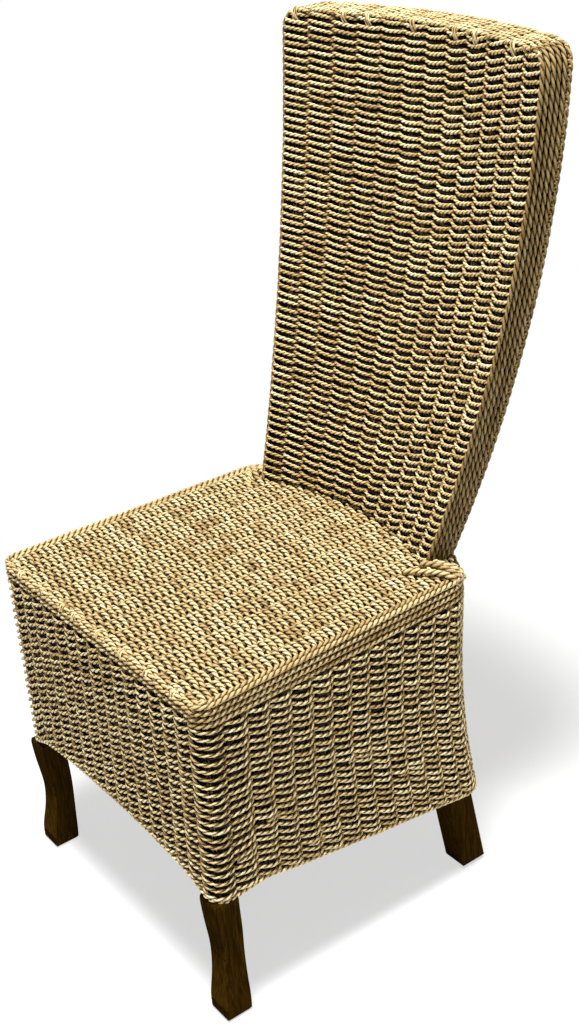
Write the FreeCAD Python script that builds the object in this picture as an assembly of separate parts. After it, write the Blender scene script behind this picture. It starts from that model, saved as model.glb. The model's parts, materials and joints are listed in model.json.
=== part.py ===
# Tall-backed dining chair: a hardwood frame under a skin of twined seagrass rope.
# Millimetres. X runs across the chair, Y from its front to its back, Z is up.
# The pieces are drawn with Y = 0 at the front edge of the seat. At the end all are
# moved along Y together, so that the origin lies on the floor under the middle of the chair.
import FreeCAD, Part
import math
import os

Vector = FreeCAD.Vector

# Seat and skirt, measured over the weave
seat_height = 466.0
seat_front_width = 480.0
seat_rear_width = seat_front_width - 24.0
seat_side_depth = 413.0        # front face to the sharp rear corner at seat level
front_corner_radius = 24.0
rear_corner_radius = 45.0
seat_weave_thickness = 12.0
seat_edge_radius = 20.0        # waterfall over the front edge
skirt_weave_thickness = 8.0
hem_front_height = 187.0       # floor to hem at the front corners
hem_arch = 18.0                # rise of the front hem at its middle
hem_rear_height = 128.0        # floor to hem at the rear corners
hem_rear_arch = 16.0
skirt_front_lean = 6.0         # how far the hem stands out in front of the seat
skirt_front_taper = 7.0        # narrowing of each front corner at the hem
skirt_rear_flare = 7.0         # widening of each rear corner at the hem
waist_share = 0.74             # share of the seat's height where the rear of the skirt is drawn in most
waist_height = seat_height * waist_share
waist_depth = 408.0            # front face to the sharp rear corner there
waist_bow = 45.0               # how far the rear bows out there
hem_rear_kick = 26.0           # how far the rear hem kicks back from the waist
hem_rear_bow = 12.0

# Back, measured over the weave
overall_height = 1084.0
back_base_width = seat_rear_width - 98.0
back_top_width = 486.0
back_base_flare = 11.2         # degrees that each side leans out where it leaves the seat
back_setback = 379.0           # front face of the seat to the back's front edge
back_rake_depth = 145.0        # how far the back leans from the seat to its top
back_base_rake = 21.4          # degrees that the back leans where it leaves the seat
back_bow = 42.0                # depth of the hollow across the back
back_thickness = 58.0
back_weave_thickness = 11.0
back_corner_radius = 27.0

# Ropes
edge_rope_count = 6            # lengthwise ropes round the edge of the back
border_rope_diameter = 8.4
lashing_rope_diameter = 8.0
lashing_rope_count = 3
hem_rope_diameter = 8.0

# Wood frame
frame_depth = 24.0             # posts and back rails, front to back
post_width = 36.0
heel_height = 64.0             # foot of each post below the top of its seat rail
crest_rail_height = 62.0
back_rail_height = 40.0
middle_rail_level = 772.0      # floor to the lower edge of the middle rail
back_tenon_length = 14.0
tenon_shoulder = 6.0
leg_width = 40.0
knee_inset = 2.0               # knee inside the outer face of the skirt
knee_width = 34.0
ankle_width = 30.0
foot_width = 38.0
knee_drop = 22.0               # hem to the fullest point of the knee
ankle_height = 100.0
ankle_setback = 7.0            # ankle behind the knee
foot_height = 24.0             # floor to the fullest point of the foot
foot_advance = 5.0             # toe in front of the knee
foot_turnout = 6.0             # toe outside the knee
ankle_tuck = 3.0               # ankle inside the knee
foot_rounding = 6.0
rear_foot_setback = 398.0      # front face of the seat to the front of the rear foot
rear_foot_width = seat_rear_width - 16.0   # over both rear feet
rear_leg_depth = 38.0
rear_leg_width = 36.0
rear_leg_rake = 10.0           # degrees
rear_leg_top_setback = 354.0
rail_height = 60.0
rail_thickness = 22.0
rear_rail_thickness = 29.0
seat_tenon_length = 13.0
seat_tenon_shoulder = 5.0
block_reach = 62.0             # corner block along each rail
block_height = 40.0
slat_width = 45.0
slat_thickness = 18.0
slat_housing = 8.0             # how far a slat is let into the side rail
screw_diameter = 5.0
screw_head_diameter = 10.0
screw_head_height = 3.0
block_screw_length = 26.0
post_screw_diameter = 7.0
post_screw_head_diameter = 14.0
post_screw_length = 48.0
post_screw_sink = 5.0            # head below the heel's rear face
post_screw_spacing = 26.0

# Stakes, warps and hem rods
stake_thickness = 4.6
stake_width = 8.0
back_stake_count = 12
front_stake_count = 13
side_stake_count = 10
rear_stake_count = 11
warp_count = 13
hem_rod_diameter = 12.0
hem_rod_socket = 12.0

# General
clearance = 0.3
weave_clearance = 0.6          # between a weave and the stakes behind it
overrun = 60.0                 # how far a cutting tool runs past what it cuts
sections = 8                   # sections that shape a lofted piece
rope_sides = 6
bow_facets = 10                # flats across the bow of a weave
corner_facets = 4              # flats round a corner
leg_facets = 12                # points along each curved side of a leg

# Heights that follow
seat_panel_base = seat_height - seat_weave_thickness
warp_top = seat_panel_base - clearance
rail_top = warp_top - stake_thickness
lip_base = seat_height - seat_edge_radius
border_rope_radius = border_rope_diameter / 2
border_side_ropes = 3
border_band = (border_side_ropes + 1) * border_rope_diameter
side_skirt_top = seat_height - border_band - clearance
back_height = overall_height - seat_height
edge_pitch = back_thickness / edge_rope_count
edge_rope_radius = (edge_pitch * math.cos(math.radians(back_base_rake)) - clearance) / 2
stake_inset = skirt_weave_thickness + weave_clearance
rail_inset = stake_inset + stake_thickness + clearance
frame_front = back_weave_thickness + stake_thickness + 2 * weave_clearance
frame_rear = frame_front + frame_depth
frame_side = edge_pitch + clearance
panel_side = edge_pitch + clearance


def bend(share, start_slope, height, total):
    """Parabola that leaves zero with a slope and reaches total at share 1."""
    return start_slope * height * share * (1 - share) + total * share * share


def back_share(z):
    return (z - seat_height) / back_height


def back_half_width(z):
    widening = (back_top_width - back_base_width) / 2
    slope = math.tan(math.radians(back_base_flare))
    return back_base_width / 2 + bend(back_share(z), slope, back_height, widening)


def back_edge_depth(z):
    slope = math.tan(math.radians(back_base_rake))
    return back_setback + bend(back_share(z), slope, back_height, back_rake_depth)


def back_depth(x, z):
    """Y of the back's hollow front surface."""
    half = back_half_width(z)
    radius = (half ** 2 + back_bow ** 2) / (2 * back_bow)
    return back_edge_depth(z) + back_bow - radius + math.sqrt(radius ** 2 - x ** 2)


def spread(low, high, count=sections):
    """Evenly spaced values, both ends included."""
    return [low + (high - low) * step / (count - 1) for step in range(count)]


def polygon(points):
    return Part.makePolygon(points + [points[0]])


def prism(points, direction):
    return Part.Face(polygon(points)).extrude(direction)


def mirrored(shape):
    return shape.mirror(Vector(0, 0, 0), Vector(1, 0, 0))


def back_block(low, high, left, right, near, far, facets, count=sections):
    """Piece of the bowed and raked back. left and right give X at a height,
    near and far are the distances behind the back's front surface."""
    wires = []
    for z in spread(low, high, count):
        row = [Vector(x, back_depth(x, z), z) for x in spread(left(z), right(z), facets + 1)]
        front = [p + Vector(0, near, 0) for p in row]
        rear = [p + Vector(0, far, 0) for p in reversed(row)]
        wires.append(polygon(front + rear))
    return Part.makeLoft(wires, True, True)


def across(inset):
    """Left and right limits of the back at a distance inside its edges."""
    return (lambda z: inset - back_half_width(z)), (lambda z: back_half_width(z) - inset)


class Plan:
    """Outline of the seat and skirt seen from above, at one height."""

    def __init__(self, z, inset):
        drop = (seat_height - z) / (seat_height - hem_front_height)
        if z < waist_height:
            low = (waist_height - z) / (waist_height - hem_rear_height)
            corner = waist_depth + hem_rear_kick * low * low
            bow = waist_bow + (hem_rear_bow - waist_bow) * low
        else:
            high = (z - waist_height) / (seat_height - waist_height)
            corner = waist_depth + (seat_side_depth - waist_depth) * high
            top_bow = back_setback + back_bow + back_thickness - seat_side_depth
            bow = waist_bow + (top_bow - waist_bow) * high
        front_half = seat_front_width / 2 - skirt_front_taper * drop
        rear_half = seat_rear_width / 2 + skirt_rear_flare * drop
        front = -skirt_front_lean * drop
        self.z, self.inset = z, inset
        self.lean = math.atan2(rear_half - front_half, corner - front)
        side = Vector(math.sin(self.lean), math.cos(self.lean), 0)
        outward = Vector(math.cos(self.lean), -math.sin(self.lean), 0)
        start = Vector(front_half, front, 0)
        # Front corner: centre at one radius from the front line and from the side line
        base = start - outward * front_corner_radius
        along = (front + front_corner_radius - base.y) / side.y
        self.front_centre = base + side * along
        # Rear arc through both sharp corners, and the corner arc that blends into it
        self.rear_radius = (rear_half ** 2 + bow ** 2) / (2 * bow)
        self.rear_middle = Vector(0, corner + bow - self.rear_radius, 0)
        base = start - outward * rear_corner_radius - self.rear_middle
        half_b = base.dot(side)
        reach = self.rear_radius - rear_corner_radius
        along = -half_b + math.sqrt(half_b ** 2 - base.dot(base) + reach ** 2)
        self.rear_centre = base + self.rear_middle + side * along
        gap = self.rear_centre - self.rear_middle
        self.rear_turn = math.atan2(gap.y, gap.x)
        self.front_radius = front_corner_radius - inset
        self.corner_radius = rear_corner_radius - inset

    def on_front_corner(self, angle):
        return self.place(self.front_centre, self.front_radius, angle)

    def on_rear_corner(self, angle):
        return self.place(self.rear_centre, self.corner_radius, angle)

    def on_rear(self, angle):
        return self.place(self.rear_middle, self.rear_radius - self.inset, angle)

    def place(self, centre, radius, angle):
        return Vector(centre.x + radius * math.cos(angle), centre.y + radius * math.sin(angle), self.z)

    def side_x(self, y):
        """X of the right side line at a depth."""
        start = self.on_front_corner(-self.lean)
        return start.x + (y - start.y) * math.tan(self.lean)

    def rear_y(self, x):
        radius = self.rear_radius - self.inset
        return self.rear_middle.y + math.sqrt(radius ** 2 - x ** 2)

    def front_y(self):
        return self.front_centre.y - self.front_radius

    def wire(self):
        right = [self.on_front_corner(a) for a in spread(-math.pi / 2, -self.lean, corner_facets + 1)]
        right += [self.on_rear_corner(a)
                  for a in spread(-self.lean, self.rear_turn, corner_facets + 1)]
        right += [self.on_rear(a) for a in spread(self.rear_turn, math.pi / 2, bow_facets // 2 + 1)[1:]]
        return polygon(right + [Vector(-p.x, p.y, p.z) for p in reversed(right[:-1])])


def plan_loft(low, high, inset, count=sections):
    return Part.makeLoft([Plan(z, inset).wire() for z in spread(low, high, count)], True, True)


def front_hem(x):
    """Height of the hem's lowest line along the front."""
    half = seat_front_width / 2 - skirt_front_taper
    return hem_front_height + hem_arch * (1 - (x / half) ** 2)


def rear_hem(x):
    half = seat_rear_width / 2 + skirt_rear_flare
    return hem_rear_height + hem_rear_arch * (1 - (x / half) ** 2)


def side_hem(y):
    run = waist_depth + hem_rear_kick + skirt_front_lean
    return hem_front_height + (hem_rear_height - hem_front_height) * (y + skirt_front_lean) / run


def tube(points, radius):
    """Rope, rod or shank along points: a ruled loft through flat-sided rings."""
    wires = []
    side = None
    for index, point in enumerate(points):
        before = points[max(index - 1, 0)]
        after = points[min(index + 1, len(points) - 1)]
        tangent = (after - before).normalize()
        if side is None:
            side = tangent.cross(Vector(0, 1, 0) if abs(tangent.y) < abs(tangent.z) else Vector(0, 0, 1))
        side = (side - tangent * side.dot(tangent)).normalize()
        other = tangent.cross(side)
        turns = [2 * math.pi * (k + 0.5) / rope_sides for k in range(rope_sides)]
        wires.append(polygon([point + (side * math.cos(a) + other * math.sin(a)) * radius for a in turns]))
    return Part.makeLoft(wires, True, True)


def screw(head, direction, diameter, head_diameter, length):
    """Wood screw: a head standing on the surface at head, and its shank going in."""
    shank = tube([head, head + direction * length], diameter / 2)
    cap = tube([head - direction * screw_head_height, head], head_diameter / 2)
    return shank.fuse(cap)


def smooth_line(points, count):
    """Points along the smooth curve through the given ones."""
    curve = Part.BSplineCurve()
    curve.interpolate(points)
    return curve.discretize(Number=count)


def group(solids):
    return Part.makeCompound(solids)


pieces = {}


def pair(name, shape):
    """The shape is the right-hand one. The left one is its mirror image."""
    pieces["right_" + name] = shape
    pieces["left_" + name] = mirrored(shape)


# Front legs: a side profile and a front profile, each sawn through the other
def front_leg():
    top_plan = Plan(rail_top, stake_inset)
    hem_plan = Plan(hem_front_height, knee_inset)
    knee = hem_front_height - knee_drop
    top_y, knee_y = top_plan.front_y(), hem_plan.front_y()
    ankle_y = knee_y + ankle_setback
    toe_y = knee_y - foot_advance
    front = [Vector(0, knee_y, hem_front_height), Vector(0, ankle_y, ankle_height),
             Vector(0, toe_y, foot_height), Vector(0, toe_y, 0)]
    heel_y = toe_y + foot_width
    rear = [Vector(0, heel_y, 0), Vector(0, heel_y, foot_height),
            Vector(0, ankle_y + ankle_width, ankle_height),
            Vector(0, knee_y + knee_width, knee), Vector(0, top_y + leg_width, waist_height)]
    top = [Vector(0, top_y + leg_width, rail_top), Vector(0, top_y, rail_top)]
    reach = seat_front_width
    sawn_side = prism(smooth_line(front, leg_facets) + smooth_line(rear, leg_facets) + top,
                      Vector(reach, 0, 0))
    top_x = top_plan.side_x(top_y + leg_width)
    knee_x = hem_plan.side_x(knee_y + knee_width)
    ankle_x = knee_x - ankle_tuck
    toe_x = knee_x + foot_turnout
    outer = [Vector(knee_x, 0, hem_front_height), Vector(ankle_x, 0, ankle_height),
             Vector(toe_x, 0, foot_height), Vector(toe_x, 0, 0)]
    inner = [Vector(toe_x - foot_width, 0, 0), Vector(toe_x - foot_width, 0, foot_height),
             Vector(ankle_x - ankle_width, 0, ankle_height),
             Vector(knee_x - knee_width, 0, hem_front_height)]
    top = [Vector(top_x - leg_width, 0, rail_top), Vector(top_x, 0, rail_top)]
    sawn_front = prism(smooth_line(outer, leg_facets) + smooth_line(inner, leg_facets) + top,
                       Vector(0, reach, 0))
    sawn_front.translate(Vector(0, -reach / 2, 0))
    leg = sawn_side.common(sawn_front)
    leg = leg.Solids[0]
    low = [e for e in leg.Edges if e.BoundBox.ZMax < clearance]
    leg = leg.makeChamfer(foot_rounding, low)
    return leg, top_x - leg_width, top_y + leg_width, knee_y + knee_width


leg_front, front_leg_inside, front_leg_back, front_knee_back = front_leg()


# Rear legs: raked below, upright where the rails enter
def rear_leg():
    outer = rear_foot_width / 2
    lean = math.tan(math.radians(rear_leg_rake))
    hem_y = rear_foot_setback - lean * hem_rear_height
    bend_height = (hem_rear_height + waist_height) / 2
    bend_y = (hem_y + rear_leg_top_setback) / 2 - lean * tenon_shoulder
    front = [Vector(0, hem_y, hem_rear_height), Vector(0, bend_y, bend_height),
             Vector(0, rear_leg_top_setback, waist_height)]
    shift = Vector(0, rear_leg_depth, 0)
    foot = Vector(0, rear_foot_setback, 0)
    top = Vector(0, rear_leg_top_setback, rail_top)
    front = [foot] + smooth_line(front, leg_facets // 2) + [top]
    leg = prism(front + [p + shift for p in reversed(front)], Vector(rear_leg_width, 0, 0))
    leg.translate(Vector(outer - rear_leg_width, 0, 0))
    low = [e for e in leg.Edges if e.BoundBox.ZMax < clearance]
    return leg.makeChamfer(foot_rounding, low)


leg_rear = rear_leg()
rear_leg_inside = rear_foot_width / 2 - rear_leg_width
rail_base = rail_top - rail_height
rear_rail_face = rear_leg_top_setback + rear_leg_depth

# Seat rails, tenoned into the legs
rail_front_y = Plan(rail_top, rail_inset).front_y()
side_ends = []
for y in (front_leg_back, rear_leg_top_setback):
    side_ends.append((y, min(Plan(z, rail_inset).side_x(y) for z in (rail_top, rail_base))))


def side_line(y):
    """X of the outer face of the right rail, inside the stakes over its whole height."""
    (start_y, start_x), (end_y, end_x) = side_ends
    return start_x + (end_x - start_x) * (y - start_y) / (end_y - start_y)


def tenoned_rail(body, tenon):
    return body.fuse(tenon).removeSplitter()


front_rail = tenoned_rail(
    Part.makeBox(2 * front_leg_inside, rail_thickness, rail_height,
                 Vector(-front_leg_inside, rail_front_y, rail_base)),
    Part.makeBox(2 * (front_leg_inside + seat_tenon_length), rail_thickness - 2 * seat_tenon_shoulder,
                 rail_height - 2 * tenon_shoulder,
                 Vector(-front_leg_inside - seat_tenon_length, rail_front_y + seat_tenon_shoulder,
                        rail_base + tenon_shoulder)))
rear_rail = tenoned_rail(
    Part.makeBox(2 * rear_leg_inside, rear_rail_thickness, rail_height,
                 Vector(-rear_leg_inside, rear_rail_face - rear_rail_thickness, rail_base)),
    Part.makeBox(2 * (rear_leg_inside + seat_tenon_length), rear_rail_thickness - 2 * seat_tenon_shoulder,
                 rail_height - 2 * tenon_shoulder,
                 Vector(-rear_leg_inside - seat_tenon_length,
                        rear_rail_face - rear_rail_thickness + seat_tenon_shoulder,
                        rail_base + tenon_shoulder)))


def side_bar(start, end, outer, inner, low, high):
    """Bar along the right side line, between two depths and two offsets from that line."""
    points = [Vector(side_line(start) - outer, start, low), Vector(side_line(end) - outer, end, low),
              Vector(side_line(end) - inner, end, low), Vector(side_line(start) - inner, start, low)]
    return prism(points, Vector(0, 0, high - low))


right_rail = tenoned_rail(
    side_bar(front_leg_back, rear_leg_top_setback, 0, rail_thickness, rail_base, rail_top),
    side_bar(front_leg_back - seat_tenon_length, rear_leg_top_setback + seat_tenon_length,
             seat_tenon_shoulder, rail_thickness - seat_tenon_shoulder,
             rail_base + tenon_shoulder, rail_top - tenon_shoulder))

# Seat slats, let into the side rails
slat_span = rear_leg_top_setback - front_leg_back
slat_names = ("front_seat_slat", "middle_seat_slat", "rear_seat_slat")
for index, name in enumerate(slat_names):
    middle = front_leg_back + slat_span * (index + 1) / (len(slat_names) + 1)
    low, high = middle - slat_width / 2, middle + slat_width / 2
    reach = rail_thickness - slat_housing
    corners = [Vector(side_line(low) - reach, low, rail_top - slat_thickness),
               Vector(side_line(high) - reach, high, rail_top - slat_thickness)]
    corners += [Vector(-p.x, p.y, p.z) for p in reversed(corners)]
    pieces[name] = prism(corners, Vector(0, 0, slat_thickness))
    right_rail = right_rail.cut(pieces[name])

# Corner blocks, cut round the legs and screwed to both rails
block_low = rail_top - slat_thickness - block_height
rail_rear_y = rail_front_y + rail_thickness


def corner_block(rail_face, leg_inside, leg_face, inward):
    """Block seen from above. inward is 1 for the front corners and -1 for the rear ones."""
    far = leg_face + inward * block_reach
    near_x, far_x = side_line(leg_face) - rail_thickness, side_line(far) - rail_thickness
    points = [Vector(leg_inside - block_reach, rail_face, block_low), Vector(leg_inside, rail_face, block_low),
              Vector(leg_inside, leg_face, block_low), Vector(near_x, leg_face, block_low),
              Vector(far_x, far, block_low)]
    block = prism(points, Vector(0, 0, block_height))
    level = block_low + block_height / 2
    # One screw into each rail, its head standing on the block
    along_share, rail_share, side_share = 0.42, 0.2, 0.1
    rail_hole = Vector(leg_inside - block_reach * along_share, rail_face + inward * block_reach * rail_share,
                       level)
    side_hole = Vector(near_x - block_reach * side_share, leg_face + inward * block_reach * along_share, level)
    first = screw(rail_hole, Vector(0, -inward, 0), screw_diameter, screw_head_diameter, block_screw_length)
    second = screw(side_hole, Vector(1, 0, 0), screw_diameter, screw_head_diameter, block_screw_length)
    return block.cut(first).cut(second), [first, second]


front_block, front_screws = corner_block(rail_rear_y, front_leg_inside, front_leg_back, 1)
rear_block, rear_screws = corner_block(rear_rail_face - rear_rail_thickness, rear_leg_inside,
                                       rear_leg_top_setback, -1)
block_screws = front_screws + rear_screws
for fastener in block_screws:
    right_rail = right_rail.cut(fastener)
    for each in (fastener, mirrored(fastener)):
        front_rail = front_rail.cut(each)
        rear_rail = rear_rail.cut(each)

# Hem rods, let into the legs
rod_inset = rail_inset + hem_rod_diameter / 2 + clearance
rod_rise = hem_rope_diameter + hem_rod_diameter / 2 + clearance


def front_rod_point(x):
    z = front_hem(x) + rod_rise
    return Vector(x, Plan(z, rod_inset).front_y(), z)


reach = front_leg_inside + hem_rod_socket
front_hem_rod = tube([front_rod_point(x) for x in spread(-reach, reach, 7)], hem_rod_diameter / 2)


def side_rod_point(y):
    z = side_hem(y) + rod_rise
    return Vector(Plan(z, rod_inset).side_x(y), y, z)


side_rod_start = side_rod_point(front_knee_back - hem_rod_socket)
side_rod_end = side_rod_point(rear_leg_top_setback + hem_rod_socket * 2)
right_hem_rod = tube([side_rod_start, side_rod_end], hem_rod_diameter / 2)


def rear_rod_point(x):
    z = rear_hem(x) + rod_rise
    return Vector(x, Plan(z, rod_inset).rear_y(x), z)


reach = rear_foot_width / 2 - rear_leg_width / 2
rear_hem_rod = tube([rear_rod_point(x) for x in spread(-reach, reach, 7)], hem_rod_diameter / 2)

leg_front = leg_front.cut(front_rail).cut(right_rail).cut(front_hem_rod).cut(right_hem_rod)
leg_rear = leg_rear.cut(rear_rail).cut(right_rail).cut(right_hem_rod).cut(rear_hem_rod)


def skirt_room():
    """Space above the hem that isn't inside the stakes."""
    start, end = -overrun, seat_side_depth + overrun
    points = [Vector(0, start, side_hem(start) - clearance), Vector(0, end, side_hem(end) - clearance),
              Vector(0, end, seat_height), Vector(0, start, seat_height)]
    room = prism(points, Vector(seat_front_width, 0, 0))
    return room.cut(plan_loft(side_hem(end) - overrun, seat_panel_base, stake_inset))


# The legs are rebated where the weave goes round them, so that the knees lie flush under it
leg_front = leg_front.cut(skirt_room())
leg_rear = leg_rear.cut(skirt_room())
front_block = front_block.cut(leg_front)
pair("hem_rod", right_hem_rod)
pieces["front_hem_rod"] = front_hem_rod
pieces["rear_hem_rod"] = rear_hem_rod


def back_top_trim(inset):
    """Prism with the back's rounded top corners, seen from the front."""
    top = overall_height - inset
    radius = back_corner_radius - inset
    side = back_half_width(top - radius) - inset
    wide = side + overrun
    base = seat_panel_base - overrun
    right_side = [Vector(wide, 0, base), Vector(wide, 0, top - radius)]
    right_side += [Vector(side + radius * (math.cos(a) - 1), 0, top + radius * (math.sin(a) - 1))
                   for a in spread(0, math.pi / 2, corner_facets + 1)]
    outline = right_side + [Vector(-p.x, 0, p.z) for p in reversed(right_side)]
    return prism(outline, Vector(0, back_edge_depth(overall_height) + overrun * 4, 0))


# Back posts: sabre-curved and splayed, each with a heel against the rear seat rail
post_base = lip_base
post_top = overall_height - edge_pitch - clearance


def post_out(z):
    return back_half_width(z) - frame_side


def post_in(z):
    return post_out(z) - post_width


post = back_block(post_base, post_top, post_in, post_out, frame_front, frame_rear, 1, sections + 4)
post = post.common(back_top_trim(frame_side))
heel_base = rail_top - heel_height
heel = Part.makeBox(post_width, back_thickness * 2, post_base + clearance - heel_base,
                    Vector(post_in(post_base), rear_rail_face, heel_base))
heel = heel.common(plan_loft(heel_base - overrun / 4, post_base + clearance * 2, rail_inset, 3))
post = post.fuse(heel).removeSplitter()


def inside_posts(extra=0.0):
    return (lambda z: -post_in(z) - extra), (lambda z: post_in(z) + extra)


def back_rail(low, height):
    left, right = inside_posts()
    body = back_block(low, low + height, left, right, frame_front, frame_rear, bow_facets, 2)
    left, right = inside_posts(back_tenon_length)
    tenon = back_block(low + tenon_shoulder, low + height - tenon_shoulder, left, right,
                       frame_front + tenon_shoulder, frame_rear - tenon_shoulder, bow_facets, 2)
    return body.fuse(tenon)


pieces["crest_rail"] = back_rail(post_top - crest_rail_height - tenon_shoulder, crest_rail_height)
pieces["middle_back_rail"] = back_rail(middle_rail_level, back_rail_height)
pieces["lower_back_rail"] = back_rail(seat_height + tenon_shoulder, back_rail_height)


def skirt_rail():
    """Bowed rail between the post heels, which carries the stakes of the rear skirt."""
    solids = []
    for extra, shoulder in ((0.0, 0.0), (back_tenon_length, tenon_shoulder)):
        half = post_in(post_base) + extra
        wires = []
        for z in spread(rail_top - back_rail_height + shoulder, rail_top - shoulder, 2):
            plan = Plan(z, rail_inset)
            rear = [Vector(x, plan.rear_y(x) - shoulder, z) for x in spread(half, -half, bow_facets + 1)]
            depth = Vector(0, frame_depth - 2 * shoulder, 0)
            wires.append(polygon(rear + [p - depth for p in reversed(rear)]))
        solids.append(Part.makeLoft(wires, True, True))
    return solids[0].fuse(solids[1])


pieces["rear_skirt_rail"] = skirt_rail()
for name in ("crest_rail", "middle_back_rail", "lower_back_rail", "rear_skirt_rail"):
    post = post.cut(pieces[name])

# Screws through the post heels into the rear seat rail, with sunk heads
post_screws = []
screw_x = post_out(post_base) - post_screw_head_diameter
for index in (0, 1):
    level = heel_base + (rail_top - heel_base - post_screw_spacing) / 2 + index * post_screw_spacing
    start = Vector(screw_x, Plan(level, rail_inset).rear_y(screw_x) - post_screw_sink, level)
    way_in = Vector(0, -1, 0)
    post_screws.append(screw(start, way_in, post_screw_diameter, post_screw_head_diameter,
                             post_screw_length))
    post = post.cut(tube([start, start - way_in * overrun], post_screw_head_diameter / 2))
for fastener in post_screws:
    post = post.cut(fastener)
    for each in (fastener, mirrored(fastener)):
        rear_rail = rear_rail.cut(each)

pieces["right_back_post"] = post
pieces["left_back_post"] = mirrored(post)
pieces["back_post_screws"] = group(post_screws + [mirrored(s) for s in post_screws])
pieces["corner_block_screws"] = group(block_screws + [mirrored(s) for s in block_screws])
pieces["front_seat_rail"] = front_rail
pieces["rear_seat_rail"] = rear_rail
pair("seat_rail", right_rail)
for name, shape in (("front_%s_leg", leg_front), ("rear_%s_leg", leg_rear),
                    ("front_%s_corner_block", front_block), ("rear_%s_corner_block", rear_block)):
    pieces[name % "right"] = shape
    pieces[name % "left"] = mirrored(shape)


# Stakes of the back, flat splints that run over the rails behind each weave
def back_stakes(near):
    stakes = []
    low = seat_height + clearance
    high = post_top - tenon_shoulder
    for index in range(back_stake_count):
        share = (2 * index + 1) / back_stake_count - 1
        right = across(frame_side)[1]
        rings = []
        for z in spread(low, high):
            edges = [right(z) * share + way * stake_width / 2 for way in (-1, 1)]
            front = [Vector(x, back_depth(x, z) + near, z) for x in edges]
            rear = [p + Vector(0, stake_thickness, 0) for p in reversed(front)]
            rings.append(polygon(front + rear))
        stakes.append(Part.makeLoft(rings, True, True))
    return group(stakes)


pieces["back_front_stakes"] = back_stakes(back_weave_thickness + weave_clearance)
pieces["back_rear_stakes"] = back_stakes(frame_rear + weave_clearance)


# Stakes of the skirt
def skirt_splint(place, top, bottom, inward, count=2):
    """Stake from bottom to top. place gives a point of its outer face from a height and
    an offset along the skirt."""
    parts = []
    for z in spread(bottom, top, count):
        outer = [place(z, way * stake_width / 2) for way in (-1, 1)]
        parts.append(polygon(outer + [p + inward * stake_thickness for p in reversed(outer)]))
    return Part.makeLoft(parts, True, True)


stake_top = lip_base - clearance
front_stakes = []
for index in range(front_stake_count):
    x = (front_leg_inside - stake_width) * (2 * index / (front_stake_count - 1) - 1)

    def front_place(z, offset, x=x):
        return Vector(x + offset, Plan(z, stake_inset).front_y(), z)

    front_stakes.append(skirt_splint(front_place, stake_top, front_hem(x) + hem_rope_diameter,
                                     Vector(0, 1, 0)))
pieces["front_skirt_stakes"] = group(front_stakes)

side_stakes = []
stake_run_start = front_leg_back + leg_width / 2
stake_run_end = rear_leg_top_setback - rear_leg_depth / 2
fan = (rear_foot_setback - rear_leg_top_setback) / 2
for index in range(side_stake_count):
    share = index / (side_stake_count - 1)
    top_y = stake_run_start + (stake_run_end - stake_run_start) * share

    def side_place(z, offset, top_y=top_y, share=share):
        drop = (stake_top - z) / (stake_top - hem_front_height)
        y = top_y + fan * (share - (1 - share) / 2) * drop + offset
        return Vector(Plan(z, stake_inset).side_x(y), y, z)

    low = side_hem(side_place(hem_front_height, 0).y) + hem_rope_diameter
    side_stakes.append(skirt_splint(side_place, side_skirt_top, low, Vector(-1, 0, 0)))
pair("skirt_stakes", group(side_stakes))

rear_stakes = []
for index in range(rear_stake_count):
    x = (post_in(post_base) - stake_width) * (2 * index / (rear_stake_count - 1) - 1)

    def rear_place(z, offset, x=x):
        return Vector(x + offset, Plan(z, stake_inset + clearance).rear_y(x + offset), z)

    rear_stakes.append(skirt_splint(rear_place, stake_top, rear_hem(x) + hem_rope_diameter,
                                    Vector(0, -1, 0), sections))
pieces["rear_skirt_stakes"] = group(rear_stakes)

# Warps under the seat weave, lying on the front and rear rails and on the slats
warps = []
for index in range(warp_count):
    x = (front_leg_inside - stake_width) * (2 * index / (warp_count - 1) - 1)
    end = rear_rail_face - tenon_shoulder
    warps.append(Part.makeBox(stake_width, end - seat_edge_radius, stake_thickness,
                              Vector(x - stake_width / 2, seat_edge_radius, rail_top)))
pieces["seat_warps"] = group(warps)

# The back's outer body, which the seat and skirt weaves are cut against
left, right = across(-weave_clearance)
back_body = back_block(seat_panel_base, overall_height, left, right, -weave_clearance,
                       back_thickness + weave_clearance, bow_facets)


def back_weave(near, far):
    left, right = across(panel_side)
    top = overall_height - panel_side
    body = back_block(seat_panel_base + clearance, top, left, right, near, far, bow_facets)
    return body.common(back_top_trim(panel_side))


pieces["back_front_weave"] = back_weave(0, back_weave_thickness)
pieces["back_rear_weave"] = back_weave(back_thickness - back_weave_thickness, back_thickness)


# Lengthwise ropes that run up one edge of the back, over its top and down the other edge
def edge_rope(index):
    depth = edge_pitch * (index + 0.5)
    r = edge_pitch / 2
    bend_radius = back_corner_radius - r
    corner_z = overall_height - back_corner_radius
    corner_x = back_half_width(corner_z) - back_corner_radius
    half = []
    for z in spread(seat_height, corner_z, 6):
        half.append((back_half_width(z) - r, z))
    for angle in spread(0, math.pi / 2, 5)[1:]:
        half.append((corner_x + bend_radius * math.cos(angle), corner_z + bend_radius * math.sin(angle)))
    half.append((corner_x / 2, overall_height - r))
    path = half + [(0, overall_height - r)] + [(-x, z) for x, z in reversed(half)]
    points = [Vector(x, back_depth(x, min(z, overall_height)) + depth, z) for x, z in path]
    return tube(points, edge_rope_radius)


pieces["back_edge_ropes"] = group([edge_rope(index) for index in range(edge_rope_count)])

# Seat weave: a flat sheet with a waterfall front, fitted round the foot of the back
border_inset = 2 * border_rope_diameter + clearance
far = back_setback + back_bow + back_thickness + overrun


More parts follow.
